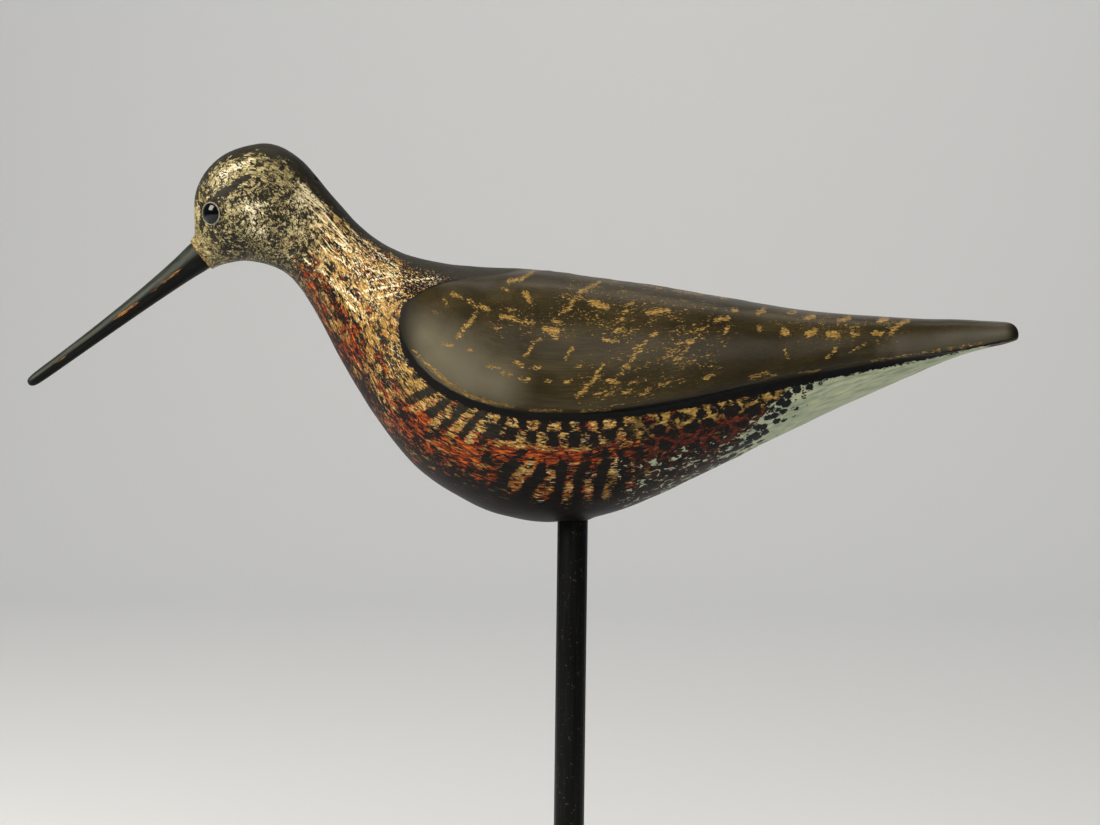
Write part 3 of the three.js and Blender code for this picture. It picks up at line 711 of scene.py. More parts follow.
LIP_MARKS = [
    (413, 350, 424, 362, 1.3), (424, 362, 436, 373, 1.8), (436, 373, 447, 383, 2.3),
    (447, 383, 460, 390, 2.5), (460, 390, 474, 397, 2.1), (474, 397, 490, 402, 1.7),
    (490, 402, 512, 407, 1.4), (530, 410, 562, 411, 0.8), (580, 411, 612, 410, 0.6),
    (750, 378, 766, 373, 1.5), (766, 377, 776, 374, 1.1), (800, 373, 820, 370, 1),
    (872, 361, 930, 351.5, 0.9), (930, 351.5, 984, 343.5, 0.9),
]
REAR_SPOTS = [
    (759, 328, 760, 329, 2.4), (783, 331, 787, 333, 3.6), (809, 334, 814, 331, 3.6),
    (829, 334, 837, 335, 3.8), (852, 334, 857, 334, 2.4), (874, 333, 881, 334, 2.8),
    (890, 332, 897, 327, 2.6), (732, 310, 737, 310, 2), (758, 313, 764, 310, 2.4),
    (788, 313, 796, 312, 1.5), (807, 318, 813, 316, 2.6), (838, 321, 849, 318, 2.4),
    (879, 321, 887, 319, 2.6), (898, 325, 908, 320, 2.2), (826, 358, 836, 349, 1.6),
    (850, 353, 866, 343, 0.9), (716, 320, 728, 318, 2.4), (648, 313, 668, 310, 2.6),
    (785, 350, 788, 358, 1.1), (590, 275.5, 618, 280.5, 0.3), (640, 284.5, 664, 288.5, 0.4),
    (674, 290.5, 703, 295, 0.8), (712, 296, 727, 298.5, 0.5), (704, 378, 712, 375, 2),
    (724, 333, 728, 327, 1.6), (660, 385, 671, 381, 1.8),
]
# Rows of ticks run up and to the right; each row's foot and head, and how many ticks it has
TICK_ROWS = [
    (576, 398, 600, 372, 3), (606, 399, 640, 342, 6), (622, 371, 656, 331, 5), (624, 396, 634, 378, 2),
    (664, 360, 684, 340, 3), (675, 362, 708, 324, 5), (640, 398, 652, 385, 2), (618, 324, 632, 300, 3),
    (560, 316, 580, 294, 3), (684, 346, 700, 326, 2),
]
TICK_LENGTH = 7
TICK_RISE = -2.5
TICK_RADIUS = 1.5


def tick_marks():
    marks = []
    for foot_x, foot_y, head_x, head_y, count in TICK_ROWS:
        for i in range(count):
            share = (i + 0.5) / count
            x, y = foot_x + (head_x - foot_x) * share, foot_y + (head_y - foot_y) * share
            reach = TICK_LENGTH / 2 * (1 - 0.4 * (i % 2))
            marks.append((x - reach, y - TICK_RISE / 2, x + reach, y + TICK_RISE / 2, TICK_RADIUS))
    return marks


marks = SHOULDER_MARKS + LIP_MARKS + REAR_SPOTS + tick_marks()
worn = mark_distance(sight, marks) * pixel_mm
# Where the wear is fine as dust; where the tail's facet is paler, partly as paler paint and partly as
# painted sheen;
# where a painted sheen lies low on the wing's front; and where the wing's front and the tail's tip are dark
DUSTED = [
    (585, 300, 700, 330, 34), (600, 385, 700, 345, 30), (505, 318, 560, 325, 16),
    (790, 320, 890, 325, 18),
]
# The tail's side facet is painted paler: partly paler paint, partly painted sheen
FACET_PAINT_AND_SHEEN = [(840, 355, 872, 351, -5), (880, 350, 900, 347, 0), (900, 347, 1002, 333.5, 6)]
# A painted sheen: the wing's lower front is painted a paler grey where light glances off it
PAINTED_SHEEN = [(440, 354, 468, 374, 14), (468, 374, 498, 384, 7), (426, 336, 440, 354, 6)]
WING_FRONT = (402, 424)
TAIL_TIP = (1005, 1016)
put_values(carving, "worn", np.clip(worn, -4, 4))
put_values(carving, "dusted", ramp(mark_distance(sight, DUSTED), -16, 16))
put_values(carving, "facet", ramp(mark_distance(sight, FACET_PAINT_AND_SHEEN), -11, 5))
put_values(carving, "painted_sheen", ramp(mark_distance(sight, PAINTED_SHEEN), -36, 14))
put_values(carving, "nose", np.maximum(1 - ramp(px, *WING_FRONT), ramp(px, *TAIL_TIP)))
print(len(marks), "worn marks")

# %% [markdown]
# ## How a material is put together
#
# One function adds a node with its settings and links. Colours are written as a paint chip's hex value
# and turned to linear light. Patterns are sized in millimetres on the bird's flow or on object space.

# %% Helpers for materials
def paint(code):
    """A paint chip's hex value as linear colour."""
    values = [int(code[i:i + 2], 16) / 255 for i in (1, 3, 5)]
    return [v / 12.92 if v < 0.04045 else ((v + 0.055) / 1.055) ** 2.4 for v in values] + [1]


def add(tree, kind, inputs, out=0, chips=(), **settings):
    """Adds a node to a material, sets or links its inputs, and gives back one of its outputs.

    Paint chips are spread evenly over a colour ramp.
    """
    node = tree.nodes.new("ShaderNode" + kind)
    for name, value in settings.items():
        setattr(node, name, value)
    for name, value in inputs.items():
        if isinstance(value, bpy.types.NodeSocket):
            tree.links.new(value, node.inputs[name])
        else:
            node.inputs[name].default_value = value
    for i in range(1, len(chips) - 1):
        node.color_ramp.elements.new(i / (len(chips) - 1))
    for i, chip in enumerate(chips):
        node.color_ramp.elements[i].color = paint(chip)
    return node.outputs[out]


def new_material(name, **surface):
    """A material with one Principled shader, whose even values are set on its own sockets."""
    material = bpy.data.materials.new(name)
    material.use_nodes = True
    shader = material.node_tree.nodes["Principled BSDF"]
    for socket, value in surface.items():
        shader.inputs[socket.replace("_", " ")].default_value = value
    return material, material.node_tree, shader


def coat(tree, shader, colour, height=None, strength=0.0, depth=0.0):
    """Gives a shader its colour and, from a height, the relief of the brush."""
    tree.links.new(colour, shader.inputs["Base Color"])
    if height is not None:
        bump = add(tree, "Bump", {"Height": height, "Strength": strength, "Distance": depth})
        tree.links.new(bump, shader.inputs["Normal"])


def object_mm(tree):
    """The place on a piece, in millimetres."""
    place = add(tree, "TexCoord", {}, out=3)
    return add(tree, "Mapping", {"Vector": place, "Scale": (MM, MM, MM)}, vector_type="TEXTURE")


def brush_marks(tree, flow, length, width, seed, curl=0.0, detail=2.0, slant=0.0):
    """The marks of a stiff brush, length by width in mm, spread over 0 to 1."""
    stretched = add(tree, "Mapping", {
        "Vector": flow,
        "Location": (seed * 7.3, seed * 3.1, seed * 5.7),
        "Rotation": (0, 0, math.radians(slant)),
        "Scale": (length, width, width),
    }, vector_type="TEXTURE")
    noise = add(tree, "TexNoise", {
        "Vector": stretched, "Scale": 1, "Detail": detail, "Roughness": 0.55, "Distortion": curl,
    })
    return add(tree, "MapRange", {"Value": noise, "From Min": 0.32, "From Max": 0.68})


def both_marks(tree, clumps, hairs, share):
    """Fine marks gathered in clumps, spread over 0 to 1 again."""
    mixed = add(tree, "Mix", {0: share, 2: clumps, 3: hairs})
    return add(tree, "MapRange", {"Value": mixed, "From Min": 0.16, "From Max": 0.84})


def laid_on(tree, below, colour, thickness, marks, soft=0.2):
    """Lays a colour over another where thickness and brush marks together pass 1."""
    together = add(tree, "Math", {0: thickness, 1: 1, 2: marks}, operation="MULTIPLY_ADD")
    mask = add(tree, "MapRange", {"Value": together, "From Min": 1, "From Max": 1 + soft})
    return add(tree, "Mix", {0: mask, 6: below, 7: colour}, out=2, data_type="RGBA"), mask


# %% [markdown]
# ## Oil paint over carved wood
#
# Several finishes lie side by side on the one carving. Each has its own function that gives back a
# colour: the broken cream and rust of the face, neck, breast and flank, the pale rump, the dark cap and
# back, and the umber wings with their rubbed marks. The material then puts them together by the map.

# %% Broken paint: the face, neck, breast and flank
def strokes(tree, flow, seed, slant):
    """The body's strokes: fine hairs, gathered in clumps and in broad patches."""
    patches = brush_marks(tree, flow, 5.6, 3.2, seed, curl=0.9)
    clumps = brush_marks(tree, flow, 2.9, 1.1, seed + 1, curl=0.8, slant=slant)
    hairs = brush_marks(tree, flow, 2.5, 0.5, seed + 2, curl=0.6, detail=3, slant=slant * 2)
    return both_marks(tree, both_marks(tree, patches, clumps, 0.42), hairs, 0.42)


def dabs(tree, flow, seed):
    """The face's short dabs, which run in all directions."""
    clumps = brush_marks(tree, flow, 3.8, 2.5, seed, curl=1.6, slant=50)
    dots = brush_marks(tree, flow, 1.9, 1.0, seed + 1, curl=1.8, detail=3, slant=-50)
    return both_marks(tree, clumps, dots, 0.55)


def dark_ground(tree, flow, maps):
    """The first coat: near-black, and charcoal on the head; before the wing the charcoal is a painted sheen
    in the gaps of the bars.
    """
    wash = brush_marks(tree, flow, 3, 0.8, 1)
    black = add(tree, "ValToRGB", {0: wash}, chips=("#050403", "#0c0907", "#15100b"))
    charcoal_and_sheen = add(tree, "ValToRGB", {0: wash}, chips=("#171510", "#211f18", "#2b281f"))
    return add(tree, "Mix", {0: maps["charcoal_and_sheen"], 6: black, 7: charcoal_and_sheen}, out=2, data_type="RGBA")


def cream_paint(tree, flow, maps):
    """Ochre cream for the body and a greyer cream for the face, paler where white was picked up."""
    paler = add(tree, "Math", {0: maps["white"], 1: 0.5, 2: -0.1}, operation="MULTIPLY_ADD")
    streaks = brush_marks(tree, flow, 1.6, 0.6, 7, curl=0.8)
    shade = add(tree, "Math", {0: streaks, 1: 0.75, 2: paler}, operation="MULTIPLY_ADD")
    body = add(tree, "ValToRGB", {0: shade}, chips=("#4a3716", "#6f5526", "#94743a", "#bb9a5c", "#dcc890"))
    face = add(tree, "ValToRGB", {0: shade}, chips=("#544a2e", "#796d48", "#9d9268", "#c4ba94", "#e6e0c6"))
    return add(tree, "Mix", {0: maps["head"], 6: body, 7: face}, out=2, data_type="RGBA")


def drawn_strokes(tree, flow, maps, colour):
    """Thin pale strokes along the neck and over the shoulder, and the longest ones themselves."""
    drawn = brush_marks(tree, flow, 10, 0.45, 141, curl=0.2)
    short = add(tree, "Math", {0: maps["neck_strokes"], 1: 0.32, 2: 0}, operation="MULTIPLY_ADD")
    long = add(tree, "Math", {0: maps["long_strokes"], 1: 1.2, 2: 0.6}, operation="MULTIPLY_ADD")
    reach = add(tree, "Math", {0: short, 1: long}, operation="MAXIMUM")
    return laid_on(tree, colour, paint("#e0d5b0"), reach, drawn, soft=0.15)


def broken_paint(tree, flow, maps):
    """Rust, ochre and cream strokes, one over the other, on a near-black ground."""
    on_head = maps["head"]
    ground = dark_ground(tree, flow, maps)
    streaks = brush_marks(tree, flow, 4, 0.7, 4)
    rust = add(tree, "ValToRGB", {0: streaks}, chips=("#290b05", "#5c1e0a", "#8f3b12", "#b46520"))
    colour, rust_mask = laid_on(tree, ground, rust, maps["rust"], strokes(tree, flow, 101, 8))
    spread = add(tree, "Mix", {0: on_head, 2: strokes(tree, flow, 111, -6), 3: dabs(tree, flow, 121)})
    cream = cream_paint(tree, flow, maps)
    colour, cream_mask = laid_on(tree, colour, cream, maps["cream"], spread, soft=0.18)
    body_holes = brush_marks(tree, flow, 3.4, 1.1, 151, curl=1.0, detail=3, slant=10)
    holes = add(tree, "Mix", {0: on_head, 2: body_holes, 3: dabs(tree, flow, 161)})
    colour, _ = laid_on(tree, colour, ground, 0.3, holes, soft=0.12)
    hairs = brush_marks(tree, flow, 2.4, 0.36, 8, curl=0.6, detail=3, slant=6)
    flecks = add(tree, "Mix", {0: on_head, 2: hairs, 3: dabs(tree, flow, 131)})
    chips = add(tree, "Math", {0: maps["white"], 1: 0.55, 2: -0.08}, operation="MULTIPLY_ADD")
    colour, white_mask = laid_on(tree, colour, paint("#e1dabe"), chips, flecks, soft=0.25)
    colour, drawn_mask = drawn_strokes(tree, flow, maps, colour)
    smear = brush_marks(tree, flow, 2.4, 1.2, 9, curl=1.0)
    # The eye's dark streak and the painted shadows of the cheek and breast, laid in the dark ground colour
    colour, _ = laid_on(tree, colour, ground, maps["eye_streak_and_shadows"], smear)
    thick = white_mask
    for mask, share in ((cream_mask, 0.6), (drawn_mask, 0.8), (rust_mask, 0.4)):
        thick = add(tree, "Math", {0: mask, 1: share, 2: thick}, operation="MULTIPLY_ADD")
    return colour, thick


# %% The dark scales of the rear flank, and the pale rump
def cells(tree, flow, size, seed, feature, wobble_share):
    """Ragged cells, size mm apart: how far a place is from a cell's middle, or from its edge."""
    wobble = brush_marks(tree, flow, size * 0.35, size * 0.22, seed, curl=0.8, detail=3)
    grid = add(tree, "Mapping", {
        "Vector": flow, "Location": (seed, 0, seed), "Scale": (size, size * 0.85, size),
    }, vector_type="TEXTURE")
    distance = add(tree, "TexVoronoi", {"Vector": grid, "Scale": 1, "Randomness": 0.8}, feature=feature)
    return add(tree, "Math", {0: wobble, 1: wobble_share, 2: distance}, operation="MULTIPLY_ADD")


def scaly(tree, flow, maps, colour):
    """Black scales between ragged lines, which are ochre under the lip and red-brown below."""
    shade = brush_marks(tree, flow, 1.8, 0.5, 45, detail=3)
    ochre = add(tree, "ValToRGB", {0: shade}, chips=("#5c461c", "#9a7c3c", "#bda362"))
    red = add(tree, "ValToRGB", {0: shade}, chips=("#240a06", "#4a170d", "#743618"))
    patchy = brush_marks(tree, flow, 6, 3.5, 46)
    depth = add(tree, "Math", {0: patchy, 1: 5, 2: maps["below_lip"]}, operation="MULTIPLY_ADD")
    low = add(tree, "MapRange", {"Value": depth, "From Min": 7.5, "From Max": 11})
    edge = cells(tree, flow, 5.0, 41, "DISTANCE_TO_EDGE", 0.16)
    lines = add(tree, "MapRange", {"Value": edge, "From Min": 0.21, "From Max": 0.15})
    lines = add(tree, "Math", {0: lines, 1: maps["scales"]}, operation="MULTIPLY")
    gaps = brush_marks(tree, flow, 3.4, 2.2, 47)
    kept = add(tree, "MapRange", {"Value": gaps, "From Min": 0.2, "From Max": 0.4})
    lines = add(tree, "Math", {0: lines, 1: kept}, operation="MULTIPLY")
    line_colour = add(tree, "Mix", {0: low, 6: ochre, 7: red}, out=2, data_type="RGBA")
    return add(tree, "Mix", {0: lines, 6: colour, 7: line_colour}, out=2, data_type="RGBA")


def pale_rump(tree, flow, maps, colour):
    """Grey-green streaked along, with a ragged border and black spots that shrink towards the tail."""
    streaks = brush_marks(tree, flow, 18, 1.1, 11, detail=3)
    pale = add(tree, "ValToRGB", {0: streaks}, chips=("#86917b", "#a1aa90", "#bbbd9c"))
    border = brush_marks(tree, flow, 2.6, 1.6, 42, curl=0.8, detail=3)
    reach = add(tree, "Math", {0: maps["rump"], 1: 1.2, 2: 0}, operation="MULTIPLY_ADD")
    colour, _ = laid_on(tree, colour, pale, reach, border, soft=0.1)
    spot = add(tree, "Math", {0: maps["rump_spots"], 1: 0.78, 2: 0}, operation="MULTIPLY_ADD")
    middle = cells(tree, flow, 2.9, 43, "F1", 0.3)
    depth = add(tree, "Math", {0: spot, 1: middle}, operation="SUBTRACT")
    inside = add(tree, "MapRange", {"Value": depth, "From Min": 0, "From Max": 0.06})
    on_rump = add(tree, "MapRange", {"Value": maps["rump"], "From Min": 0.4, "From Max": 0.5})
    spots = add(tree, "Math", {0: inside, 1: on_rump}, operation="MULTIPLY")
    return add(tree, "Mix", {0: spots, 6: colour, 7: paint("#0e0f12")}, out=2, data_type="RGBA")


# %% The dark cap and back, and the wings
def dark_cap(tree, flow, maps, colour):
    """Charcoal brown, dragged along the head, neck and back, ragged where it meets the face."""
    streaks = brush_marks(tree, flow, 12, 0.9, 21, detail=3)
    cap = add(tree, "ValToRGB", {0: streaks}, chips=("#1a1813", "#23211a", "#2b2920"))
    rubs = brush_marks(tree, flow, 3.4, 0.8, 22, curl=0.8, detail=3)
    cap, _ = laid_on(tree, cap, paint("#6a5734"), 0.12, rubs, soft=0.4)
    ragged = brush_marks(tree, flow, 1.9, 0.9, 23, curl=1.0, detail=3)
    reach = add(tree, "Math", {0: maps["cap"], 1: 0.3, 2: 0.6}, operation="MULTIPLY_ADD")
    colour, _ = laid_on(tree, colour, cap, reach, ragged)
    return colour


WORN_FADE = 1.4  # mm, over which a rubbed mark frays out
# Laid over the umber: the tail's facet, paler as paint and as painted sheen; a painted sheen low on the
# wing's front; and the wing's front and the tail's tip darker
WING_TONES = [("facet", 0.6, "#55534a"), ("painted_sheen", 0.6, "#6f6b5b"), ("nose", 0.8, "#0d0b07")]


def umber_wings(tree, flow, maps):
    """Umber, with a grain of fine scratches, rubbed through to ochre along edges and high places."""
    cloud = brush_marks(tree, flow, 24, 9, 31)
    scratches = brush_marks(tree, flow, 14, 0.35, 32, detail=3)
    tone = add(tree, "Mix", {0: 0.4, 2: cloud, 3: scratches})
    colour = add(tree, "ValToRGB", {0: tone}, chips=("#1a160c", "#2a2414", "#3d3521"))
    for name, share, chip in WING_TONES:
        weight = add(tree, "Math", {0: maps[name], 1: share, 2: 0}, operation="MULTIPLY_ADD")
        colour = add(tree, "Mix", {0: weight, 6: colour, 7: paint(chip)}, out=2, data_type="RGBA")
    edge = brush_marks(tree, flow, 1.5, 0.5, 33, curl=0.7, detail=3)
    marks = add(tree, "Math", {0: maps["worn"], 1: 1 / WORN_FADE, 2: 0.47}, operation="MULTIPLY_ADD")
    dust = brush_marks(tree, flow, 7, 3, 35, curl=0.6)
    dust = add(tree, "Math", {0: dust, 1: maps["dusted"]}, operation="MULTIPLY")
    dust = add(tree, "Math", {0: dust, 1: 0.42, 2: 0}, operation="MULTIPLY_ADD")
    reach = add(tree, "Math", {0: marks, 1: dust}, operation="MAXIMUM")
    shade = brush_marks(tree, flow, 1.6, 0.4, 34)
    ochre = add(tree, "ValToRGB", {0: shade}, chips=("#57451f", "#826734", "#a98a4d"))
    colour, worn_mask = laid_on(tree, colour, ochre, reach, edge)
    hollow = add(tree, "Math", {0: worn_mask, 1: -0.5, 2: 0.5}, operation="MULTIPLY_ADD")
    height = add(tree, "Math", {0: scratches, 1: 0.1, 2: hollow}, operation="MULTIPLY_ADD")
    return colour, height


# %% All of them on the carving
MAPS = [
    "head", "charcoal_and_sheen", "rust", "cream", "white", "eye_streak_and_shadows", "neck_strokes", "long_strokes",
    "below_lip", "scales", "rump", "rump_spots", "lip_shadow", "cap",
    "wing", "facet", "painted_sheen", "nose", "worn", "dusted",
]


def painted_carving():
    """Oil paint brushed over carved wood: the strokes stand up a little and break its low sheen."""
    material, tree, shader = new_material("oil_paint_on_carved_wood", Specular_IOR_Level=0.13)
    flow = add(tree, "Attribute", {}, out=1, attribute_name="flow")
    maps = {name: add(tree, "Attribute", {}, out=2, attribute_name=name) for name in MAPS}
    colour, thick = broken_paint(tree, flow, maps)
    colour = scaly(tree, flow, maps, colour)
    colour = pale_rump(tree, flow, maps, colour)
    # The black line under the wing's lip: black paint and painted shadow
    fray = brush_marks(tree, flow, 1.4, 0.6, 44, curl=0.4)
    frayed = add(tree, "Math", {0: fray, 1: 0.9, 2: maps["lip_shadow"]}, operation="MULTIPLY_ADD")
    dark = add(tree, "MapRange", {"Value": frayed, "From Min": 0.4, "From Max": 0.6})
    colour = add(tree, "Mix", {0: dark, 6: colour, 7: paint("#050506")}, out=2, data_type="RGBA")
    colour = dark_cap(tree, flow, maps, colour)
    umber, wing_height = umber_wings(tree, flow, maps)
    inside = add(tree, "MapRange", {"Value": maps["wing"], "From Min": -0.35, "From Max": 0.15})
    colour = add(tree, "Mix", {0: inside, 6: colour, 7: umber}, out=2, data_type="RGBA")
    satin = add(tree, "Mix", {0: maps["nose"], 2: 0.34, 3: 0.75})
    roughness = add(tree, "Mix", {0: inside, 2: 0.5, 3: satin})
    tree.links.new(roughness, shader.inputs["Roughness"])
    height = add(tree, "Mix", {0: inside, 2: thick, 3: wing_height})
    coat(tree, shader, colour, height, strength=0.4, depth=0.15 * MM)
    return material


finished(carving, painted_carving(), "carved_bird")

# %% [markdown]
# ## The bill
#
# A whittled stick, thickest at the face, with soft edges along its sides. The model has its shape, so a
# subdivided copy rounds it. Its green-black paint has rubbed through to the wood along the side edges.

# %% The bill
BILL_CREASE_OVER = math.radians(50)
BILL_STATIONS = 60
WORN_STRETCHES = [  # from, to and half width, in mm
    (15.5, 19.5, 0.4), (22.5, 25, 0.2), (32, 38, 0.46), (58, 61, 0.15),
]
STRETCH_TAPER = 4
RIDGE_RISE = 0.15

bill = copy_of_node("bill", "whittled_bill")
crease_sharp(bill, BILL_CREASE_OVER, 1.0)
applied(bill, "SUBSURF", levels=2, render_levels=2)
bill_places = vertex_places(bill)
from_root = (bill_places - np.array(bill_end)) @ np.array(bill_way) / MM
off_axis = bill_places - np.array(bill_end) - from_root[:, None] * MM * np.array(bill_way)
bill_up = np.array(bill_way.cross(Vector((0, 1, 0))))
bill_up *= np.sign(bill_up[2])
bill_rise = off_axis @ bill_up / MM

# The bill's middle line bends a little, so the rise is measured from that line
stations = np.linspace(from_root.min(), from_root.max(), BILL_STATIONS)
station = np.digitize(from_root, stations)
at_station = [bill_rise[station == i] for i in range(1, BILL_STATIONS + 1)]
middle_line = np.array([np.median(rises) if len(rises) else np.nan for rises in at_station])
known = ~np.isnan(middle_line)
bill_rise -= np.interp(from_root, stations[known], middle_line[known])
rubbed = np.full(len(bill_rise), -2.0)
for start, end, half in WORN_STRETCHES:
    beyond = np.maximum(np.maximum(start - from_root, from_root - end), 0) / STRETCH_TAPER
    rubbed = np.maximum(rubbed, half - np.hypot(bill_rise - RIDGE_RISE, beyond))
put_values(bill, "bill_flow", np.stack([from_root, bill_rise, bill_places[:, 1] / MM], axis=1))
put_values(bill, "rubbed", np.clip(rubbed, -2, 1))
# Painted light and shade: the bill's upper side gets a lighter paint, its underside a darker one
put_values(bill, "painted_lit_upper_side", ramp(bill_rise, -0.2, 0.6))


def bill_paint():
    """Satin oil paint on whittled wood: a soft gleam along the stick, bare wood where it is rubbed, painted
    light on the upper side and painted shade below.
    """
    material, tree, shader = new_material("satin_black_oil_paint", Roughness=0.42, Specular_IOR_Level=0.1)
    flow = add(tree, "Attribute", {}, out=1, attribute_name="bill_flow")
    facet = add(tree, "Attribute", {}, out=2, attribute_name="painted_lit_upper_side")
    rubbed_map = add(tree, "Attribute", {}, out=2, attribute_name="rubbed")
    streaks = brush_marks(tree, flow, 14, 0.5, 51, detail=3)
    # Painted shade on the underside, painted light on the upper side
    under = add(tree, "ValToRGB", {0: streaks}, chips=("#060706", "#0b0c0b", "#121311"))
    upper = add(tree, "ValToRGB", {0: streaks}, chips=("#191d19", "#262b26", "#343a34"))
    colour = add(tree, "Mix", {0: facet, 6: under, 7: upper}, out=2, data_type="RGBA")
    marks = brush_marks(tree, flow, 4, 0.25, 52, detail=3)
    reach = add(tree, "Math", {0: rubbed_map, 1: 1.3, 2: 0.45}, operation="MULTIPLY_ADD")
    grain = brush_marks(tree, flow, 3, 0.3, 53)
    wood = add(tree, "ValToRGB", {0: grain}, chips=("#74461f", "#b98242"))
    colour, _ = laid_on(tree, colour, wood, reach, marks, soft=0.4)
    coat(tree, shader, colour, streaks, strength=0.25, depth=0.08 * MM)
    return material


finished(bill, bill_paint(), "bill")

# %% [markdown]
# ## The paint that has gathered round the bill
#
# The joint was closed with putty and daubed over, which left a ragged bead. A ring of points round the
# bill is dropped onto the face along the bill's own direction, and a thin tube follows them. Its radius
# goes up and down with a fixed seed, as a daub does.

# %% The bead round the bill
BEAD_POINTS = 60
BEAD_RADIUS = 0.66 * MM
BEAD_SEED = 4
BEAD_GAP = 0.1 * MM
BEAD_SUNK = 0.25 * MM
DROPPED_FROM = 40 * MM
bead_random = np.random.default_rng(BEAD_SEED)


def bead_round_bill():
    across_way = Vector((0, 1, 0))
    up_way = bill_way.cross(across_way)
    lumps = np.convolve(np.tile(bead_random.random(BEAD_POINTS), 3), np.ones(3) / 3, mode="same")
    lumps = lumps[BEAD_POINTS:2 * BEAD_POINTS]
    ring = []
    start = bill_end + bill_way * DROPPED_FROM
    for i in range(BEAD_POINTS):
        angle = 2 * math.pi * i / BEAD_POINTS
        reach = bill_radius + BEAD_GAP
        origin = start + (across_way * math.cos(angle) + up_way * math.sin(angle)) * reach
        _, place, normal, _ = carving.ray_cast(origin, -bill_way)
        ring.append((place - normal * BEAD_SUNK, 0.6 + 0.8 * lumps[i]))
    curve = bpy.data.curves.new("bead", "CURVE")
    curve.dimensions = "3D"
    curve.bevel_depth = BEAD_RADIUS
    curve.bevel_resolution = 4
    spline = curve.splines.new("POLY")
    spline.points.add(BEAD_POINTS - 1)
    for point, (place, thickness) in zip(spline.points, ring):
        point.co = (*place, 1)
        point.radius = thickness
    spline.use_cyclic_u = True
    bead = bpy.data.objects.new("paint_bead", curve)
    bpy.context.scene.collection.objects.link(bead)
    alone(bead)
    bpy.ops.object.convert(target="MESH")
    return bpy.context.object


def bead_paint():
    """Thick oil paint daubed over putty: mottled, and duller than the glass beside it."""
    material, tree, shader = new_material("ochre_oil_paint", Roughness=0.5, Specular_IOR_Level=0.35)
    place = object_mm(tree)
    marks = brush_marks(tree, place, 1.2, 0.9, 61, detail=3)
    colour = add(tree, "ValToRGB", {0: marks}, chips=("#4b3c20", "#80693a", "#a88c55"))
    specks = brush_marks(tree, place, 0.7, 0.7, 62, detail=2)
    colour, _ = laid_on(tree, colour, paint("#a8652f"), 0.14, specks)
    dark = brush_marks(tree, place, 1.6, 1.2, 63, detail=3)
    colour, _ = laid_on(tree, colour, paint("#221d15"), 0.36, dark)
    coat(tree, shader, colour)
    return material


bead = bead_round_bill()
finished(bead, bead_paint(), None)

# %% [markdown]
# ## The eyes
#
# Each is a black glass dome in a thin pale ring of putty. The section of a cap of a sphere, of the model's
# width and height, is spun round, so that its curve is true and a light makes one small square on it.

# %% The eyes and their rings
RING_THICKNESS = 0.22 * MM
RING_OUTWARD = 0.55  # of its thickness, from the eye's rim
RING_SUNK = 0.05  # mm
RING_TURNS = 96
RING_SIDES = 12
SKIRT_DEPTH = 1.5 * MM
DOME_STEPS = 20
DOME_TURNS = 64


def glass_dome(name, centre, out, radius, stands_out):
    """The cap of a sphere, with a short skirt that goes down into the putty."""
    sphere_radius = (radius ** 2 + stands_out ** 2) / (2 * stands_out)
    opening = math.asin(radius / sphere_radius)
    outline = [(0, -SKIRT_DEPTH), (radius, -SKIRT_DEPTH)]
    for i in range(DOME_STEPS):
        angle = opening * (1 - i / DOME_STEPS)
        outline.append((sphere_radius * math.sin(angle), sphere_radius * (math.cos(angle) - 1) + stands_out))
    outline.append((0, stands_out))
    dome = spun(name, outline, DOME_TURNS)
    dome.matrix_world = Matrix.Translation(centre) @ out.to_track_quat("Z", "Y").to_matrix().to_4x4()
    settled(dome)
    return dome


def putty_ring(name, centre, out, radius):
    turn = out.to_track_quat("Z", "Y").to_euler()
    bpy.ops.mesh.primitive_torus_add(
        location=centre - out * RING_SUNK * MM, rotation=turn,
        major_radius=radius + RING_THICKNESS * RING_OUTWARD, minor_radius=RING_THICKNESS,
        major_segments=RING_TURNS, minor_segments=RING_SIDES,
    )
    ring = bpy.context.object
    ring.name = name
    settled(ring)
    return ring


def ring_putty():
    """Putty smoothed round the glass: pale, with ochre paint caught on it."""
    material, tree, shader = new_material("pale_putty", Roughness=0.5, Specular_IOR_Level=0.3)
    place = object_mm(tree)
    marks = brush_marks(tree, place, 1, 1, 71)
    colour = add(tree, "ValToRGB", {0: marks}, chips=("#5c5b51", "#85847a"))
    daubs = brush_marks(tree, place, 2.4, 2.4, 73)
    colour, _ = laid_on(tree, colour, paint("#7d6b3d"), 0.3, daubs)
    coat(tree, shader, colour)
    return material


# Polished black glass: one small sharp highlight makes the eye look wet
black = paint("#020203")
glass, _, _ = new_material("black_glass", Base_Color=black, Roughness=0.1, Specular_IOR_Level=0.3)
putty = ring_putty()
for side_name, (centre, out, radius, stands_out) in eyes.items():
    dome = glass_dome("glass_eye_" + side_name, centre, out, radius, stands_out)
    finished(dome, glass, "eye_" + side_name)
    ring = putty_ring("eye_ring_" + side_name, centre, out, radius)
    finished(ring, putty, None)

# %% [markdown]
# ## The stand
#
# A turned foot carries the dowel. The foot's outline is spun round the dowel's axis from the model's
# sizes. Both are painted black, brushed along the dowel and across the foot, with a few specks of wear.

# %% The dowel and the foot
FOOT_ROUNDING = 6 * MM
FOOT_BEVEL = 1.5 * MM
ARC_STEPS = 10
FOOT_TURNS = 96
DOWEL_SIDES = 72
DOWEL_BEVEL = 0.4 * MM
foot_low, foot_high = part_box("stand_foot")


